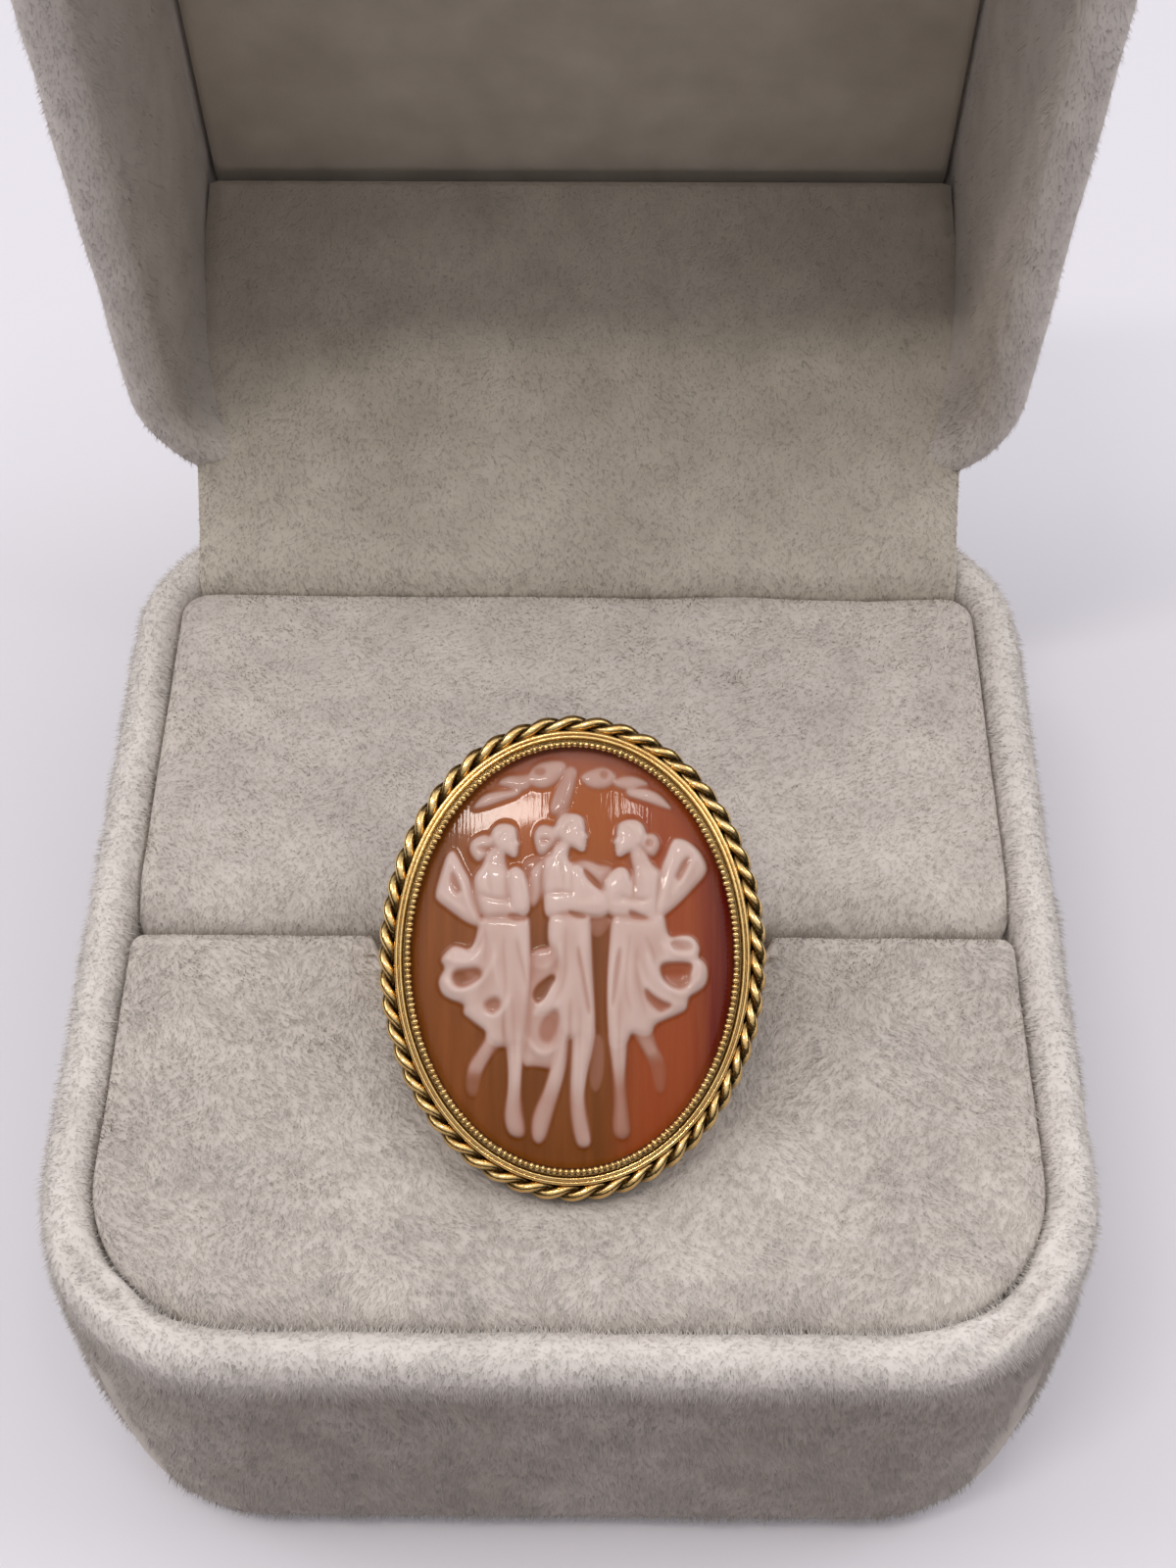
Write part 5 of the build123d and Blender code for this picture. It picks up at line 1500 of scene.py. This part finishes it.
def carved_relief(x, y):
    """The carving's rise over the dome, and how much of the white layer is left. Each form rises
    with its depth inside its outline by two exponential curves, a steep edge and a rounded top,
    and the highest one shows. Hollows and folds are cut into them, sine waves run down the
    cloth, and the white is thinner, so rosier, in what lies lower than its surroundings and in
    the grooves, and thicker on ridges and what stands proud: partly the shell's real thinning,
    partly painted shade and painted light."""
    rise = np.zeros(len(x))
    white = np.zeros(len(x))
    forms = [(left, height, eased_outline(corners)) for left, height, corners in FORMS]
    cuts = [(height, width, np.array(points)) for height, width, points in FOLDS]
    for centre_x, centre_y, size, facing in HEADS:
        turn = np.array([size * facing, size])
        centre = (centre_x, centre_y)
        forms.append((0.94, 0.72, eased_outline(np.array(FACE_OUTLINE) * turn + centre, 1)))
        forms.append((0.88, 0.80, eased_outline(np.array(HAIR_OUTLINE) * turn + centre, 2)))
        for height, width, points in FACE_CUTS:
            cuts.append((height, width, np.array(points) * turn + centre))
    for left, height, outline in forms:
        near = around(x, y, outline, 0.2)
        depth = depth_inside(x[near], y[near], outline) + 0.04
        edge = 1 - np.exp(-np.clip(depth + 0.04, 0, None) / EDGE_WIDTH)
        top = 1 - np.exp(-np.clip(depth, 0, None) / TOP_WIDTH)
        shape = EDGE_SHARE * edge + (1 - EDGE_SHARE) * top
        rise[near] = np.maximum(rise[near], height * shape)
        cover = eased_step(depth / 0.20 + 0.62)
        white[near] += (left - white[near]) * cover
    for left, cut, soft, corners in HOLLOWS:
        outline = eased_outline(corners)
        near = around(x, y, outline, soft)
        cover = eased_step(depth_inside(x[near], y[near], outline) / soft + 0.5)
        white[near] *= 1 - (1 - left) * cover
        rise[near] *= 1 - cut * cover
    for height, width, points in cuts:
        path = smooth_path(points, 24)
        near = around(x, y, path, 3 * width)
        away, along = near_sides(x[near], y[near], path[:-1], path[1:])
        taper = np.sqrt(np.clip(np.sin(np.pi * (0.06 + 0.88 * along / (len(path) - 1))), 0, 1))
        fold = height * np.exp(-((away / width) ** 2)) * taper * np.clip(white[near] / 0.4, 0, 1)
        rise[near] += fold
        # Ridges whiter and grooves rosier: partly real thinning, partly painted light and shade.
        white[near] += 0.4 * fold
    flow = waves(np.stack([x, 0.22 * y, 0 * x], axis=1), 0.9, 95)
    rise += CLOTH_WAVES * flow * np.clip(white / 0.6, 0, 1) * eased_step((1.9 - y) / 1.5)
    cloudy = waves(np.stack([x, 0.5 * y, 0 * x], axis=1), 1.3, 96)
    white += CLOTH_WAVES * cloudy * np.clip(white, 0, 1)
    rise = softened(rise, 1.5)
    # Less white in what lies lower than its surroundings, more on what stands proud: partly real
    # thinning, partly painted shade and light.
    proud = rise - softened(rise, 7.0)
    white += np.clip(white / 0.5, 0, 1) * np.clip(1.1 * proud - 0.03, -0.18, 0.10)
    return np.clip(rise, 0, None) * RELIEF, np.clip(white, 0, 1)


def cameo_mesh():
    """The domed face with its relief, closed by a straight edge and a flat back. Also returns
    each point's white layer and its place on the stone."""
    x, y = oval_grid()
    fall = (x / PLATE_HALF_WIDTH) ** 2 + (y / PLATE_HALF_LENGTH) ** 2
    relief, white = carved_relief(x.ravel(), y.ravel())
    relief = relief.reshape(x.shape)
    face = on_face(x, y, DOME_APEX - DOME_FALL * fall + relief)
    steps = CAMEO_STEPS
    index = np.arange(steps * steps).reshape(steps, steps)
    corners = [index[:-1, :-1], index[1:, :-1], index[1:, 1:], index[:-1, 1:]]
    quads = np.stack(corners, axis=-1).reshape(-1, 4)
    rim = np.concatenate([index[:-1, 0], index[-1, :-1], index[:0:-1, -1], index[0, :0:-1]])
    back = on_face(x.ravel()[rim], y.ravel()[rim], np.full(len(rim), PLATE_BACK))
    points = np.concatenate([face.reshape(-1, 3), back, back.mean(axis=0)[None]])
    lower = steps * steps + np.arange(len(rim))
    after = np.roll(lower, -1)
    sides = np.stack([rim, lower, after, np.roll(rim, -1)], axis=1)
    cap = np.stack([lower, np.full(len(rim), len(points) - 1), after], axis=1)
    extra = len(points) - steps * steps
    layer = np.concatenate([white, np.zeros(extra)])
    place_x = np.concatenate([x.ravel(), x.ravel()[rim], [0]]) / PLATE_HALF_WIDTH
    place_y = np.concatenate([y.ravel(), y.ravel()[rim], [0]]) / PLATE_HALF_LENGTH
    return points, [np.concatenate([quads, sides]), cap], layer, place_x, place_y


def shell_material():
    """Carved and polished conch shell. The under layer is amber at the foot, orange in the upper
    middle, dark red at its right edge and rosy at the left, and a duller rosy tint at the top is
    painted reflection of the room's light on the polish. The white layer is rosy where it is
    thin. Fine growth lines run up through both, and a coat of polish catches the light."""
    material, tree, output = new_material("polished_conch_shell")
    across = add_node(tree, "ShaderNodeAttribute", attribute_name="across")
    along = add_node(tree, "ShaderNodeAttribute", attribute_name="along")
    layer = add_node(tree, "ShaderNodeAttribute", attribute_name="layer")
    place = add_node(tree, "ShaderNodeTexCoord")
    wide = add_node(
        tree,
        "ShaderNodeMapping",
        {"Vector": place.outputs["Object"], "Scale": (1 / (0.5 * MM), 1 / (7 * MM), 1 / (7 * MM))},
    )
    lines = add_node(
        tree, "ShaderNodeTexNoise", {"Vector": wide.outputs["Vector"], "Scale": 1.0, "Detail": 4.0}
    )
    narrow = add_node(
        tree,
        "ShaderNodeMapping",
        {"Vector": place.outputs["Object"], "Scale": (1 / (0.16 * MM), 1 / (2.5 * MM), 1 / (2.5 * MM))},
    )
    scrapes = add_node(
        tree, "ShaderNodeTexNoise", {"Vector": narrow.outputs["Vector"], "Scale": 1.0, "Detail": 2.0}
    )
    # Where each tint of the under layer lies: coordinate, from, to, colour
    tints = [
        (along, 0.0, 0.65, "#9a4a04"),
        (across, 0.15, 0.45, "#913c0e"),
        (across, -0.25, -0.8, "#7c400a"),
        # The duller rosy tint at the top is painted reflection of the room's light on the polish.
        (along, 0.74, 1.0, "#8f4f3e"),
        (across, 0.66, 0.92, "#620600"),
    ]
    ground = linear("#6e3802")
    for coordinate, start, end, tint in tints:
        reach = add_node(
            tree,
            "ShaderNodeMapRange",
            {"Value": coordinate.outputs["Fac"], "From Min": start, "From Max": end},
            interpolation_type="SMOOTHSTEP",
        )
        blend = add_node(
            tree,
            "ShaderNodeMix",
            {"Factor": reach.outputs["Result"], 6: ground, 7: linear(tint)},
            data_type="RGBA",
        )
        ground = blend.outputs[2]
    streak = add_node(
        tree,
        "ShaderNodeMapRange",
        {"Value": lines.outputs["Fac"], "From Min": 0.35, "From Max": 0.7, "To Min": 0.0, "To Max": 0.22},
    )
    lined = add_node(
        tree,
        "ShaderNodeMix",
        {"Factor": streak.outputs["Result"], 6: ground, 7: linear("#a5602c")},
        data_type="RGBA",
    )
    thin = add_node(tree, "ShaderNodeMapRange", {"Value": layer.outputs["Fac"], "From Max": 0.5})
    thick = add_node(tree, "ShaderNodeMapRange", {"Value": layer.outputs["Fac"], "From Min": 0.5})
    rosy = add_node(
        tree,
        "ShaderNodeMix",
        {"Factor": thin.outputs["Result"], 6: lined.outputs[2], 7: linear("#a3705c")},
        data_type="RGBA",
    )
    white = add_node(
        tree,
        "ShaderNodeMix",
        {"Factor": thick.outputs["Result"], 6: rosy.outputs[2], 7: linear("#cdb2a7")},
        data_type="RGBA",
    )
    bump = add_node(
        tree,
        "ShaderNodeBump",
        {"Height": scrapes.outputs["Fac"], "Strength": 0.6, "Distance": 0.014 * MM},
    )
    shader = add_node(
        tree,
        "ShaderNodeBsdfPrincipled",
        {
            "Base Color": white.outputs[2],
            "Roughness": 0.40,
            "Specular IOR Level": 0.15,
            "Subsurface Weight": 0.12,
            "Subsurface Radius": (1.0, 0.30, 0.12),
            "Subsurface Scale": 0.35 * MM,
            "Coat Weight": 0.42,
            "Coat Roughness": 0.06,
            "Normal": bump.outputs["Normal"],
            "Coat Normal": bump.outputs["Normal"],
        },
    )
    tree.links.new(shader.outputs["BSDF"], output.inputs["Surface"])
    return material


points, faces, layer, place_x, place_y = cameo_mesh()
cameo = build_piece("cameo_shell", points, faces, shell_material())
for name, values in (("layer", layer), ("across", place_x), ("along", place_y)):
    attribute = cameo.data.attributes.new(name, "FLOAT", "POINT")
    attribute.data.foreach_set("value", values.astype(np.float32))
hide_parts("cameo")
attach(cameo, "box")
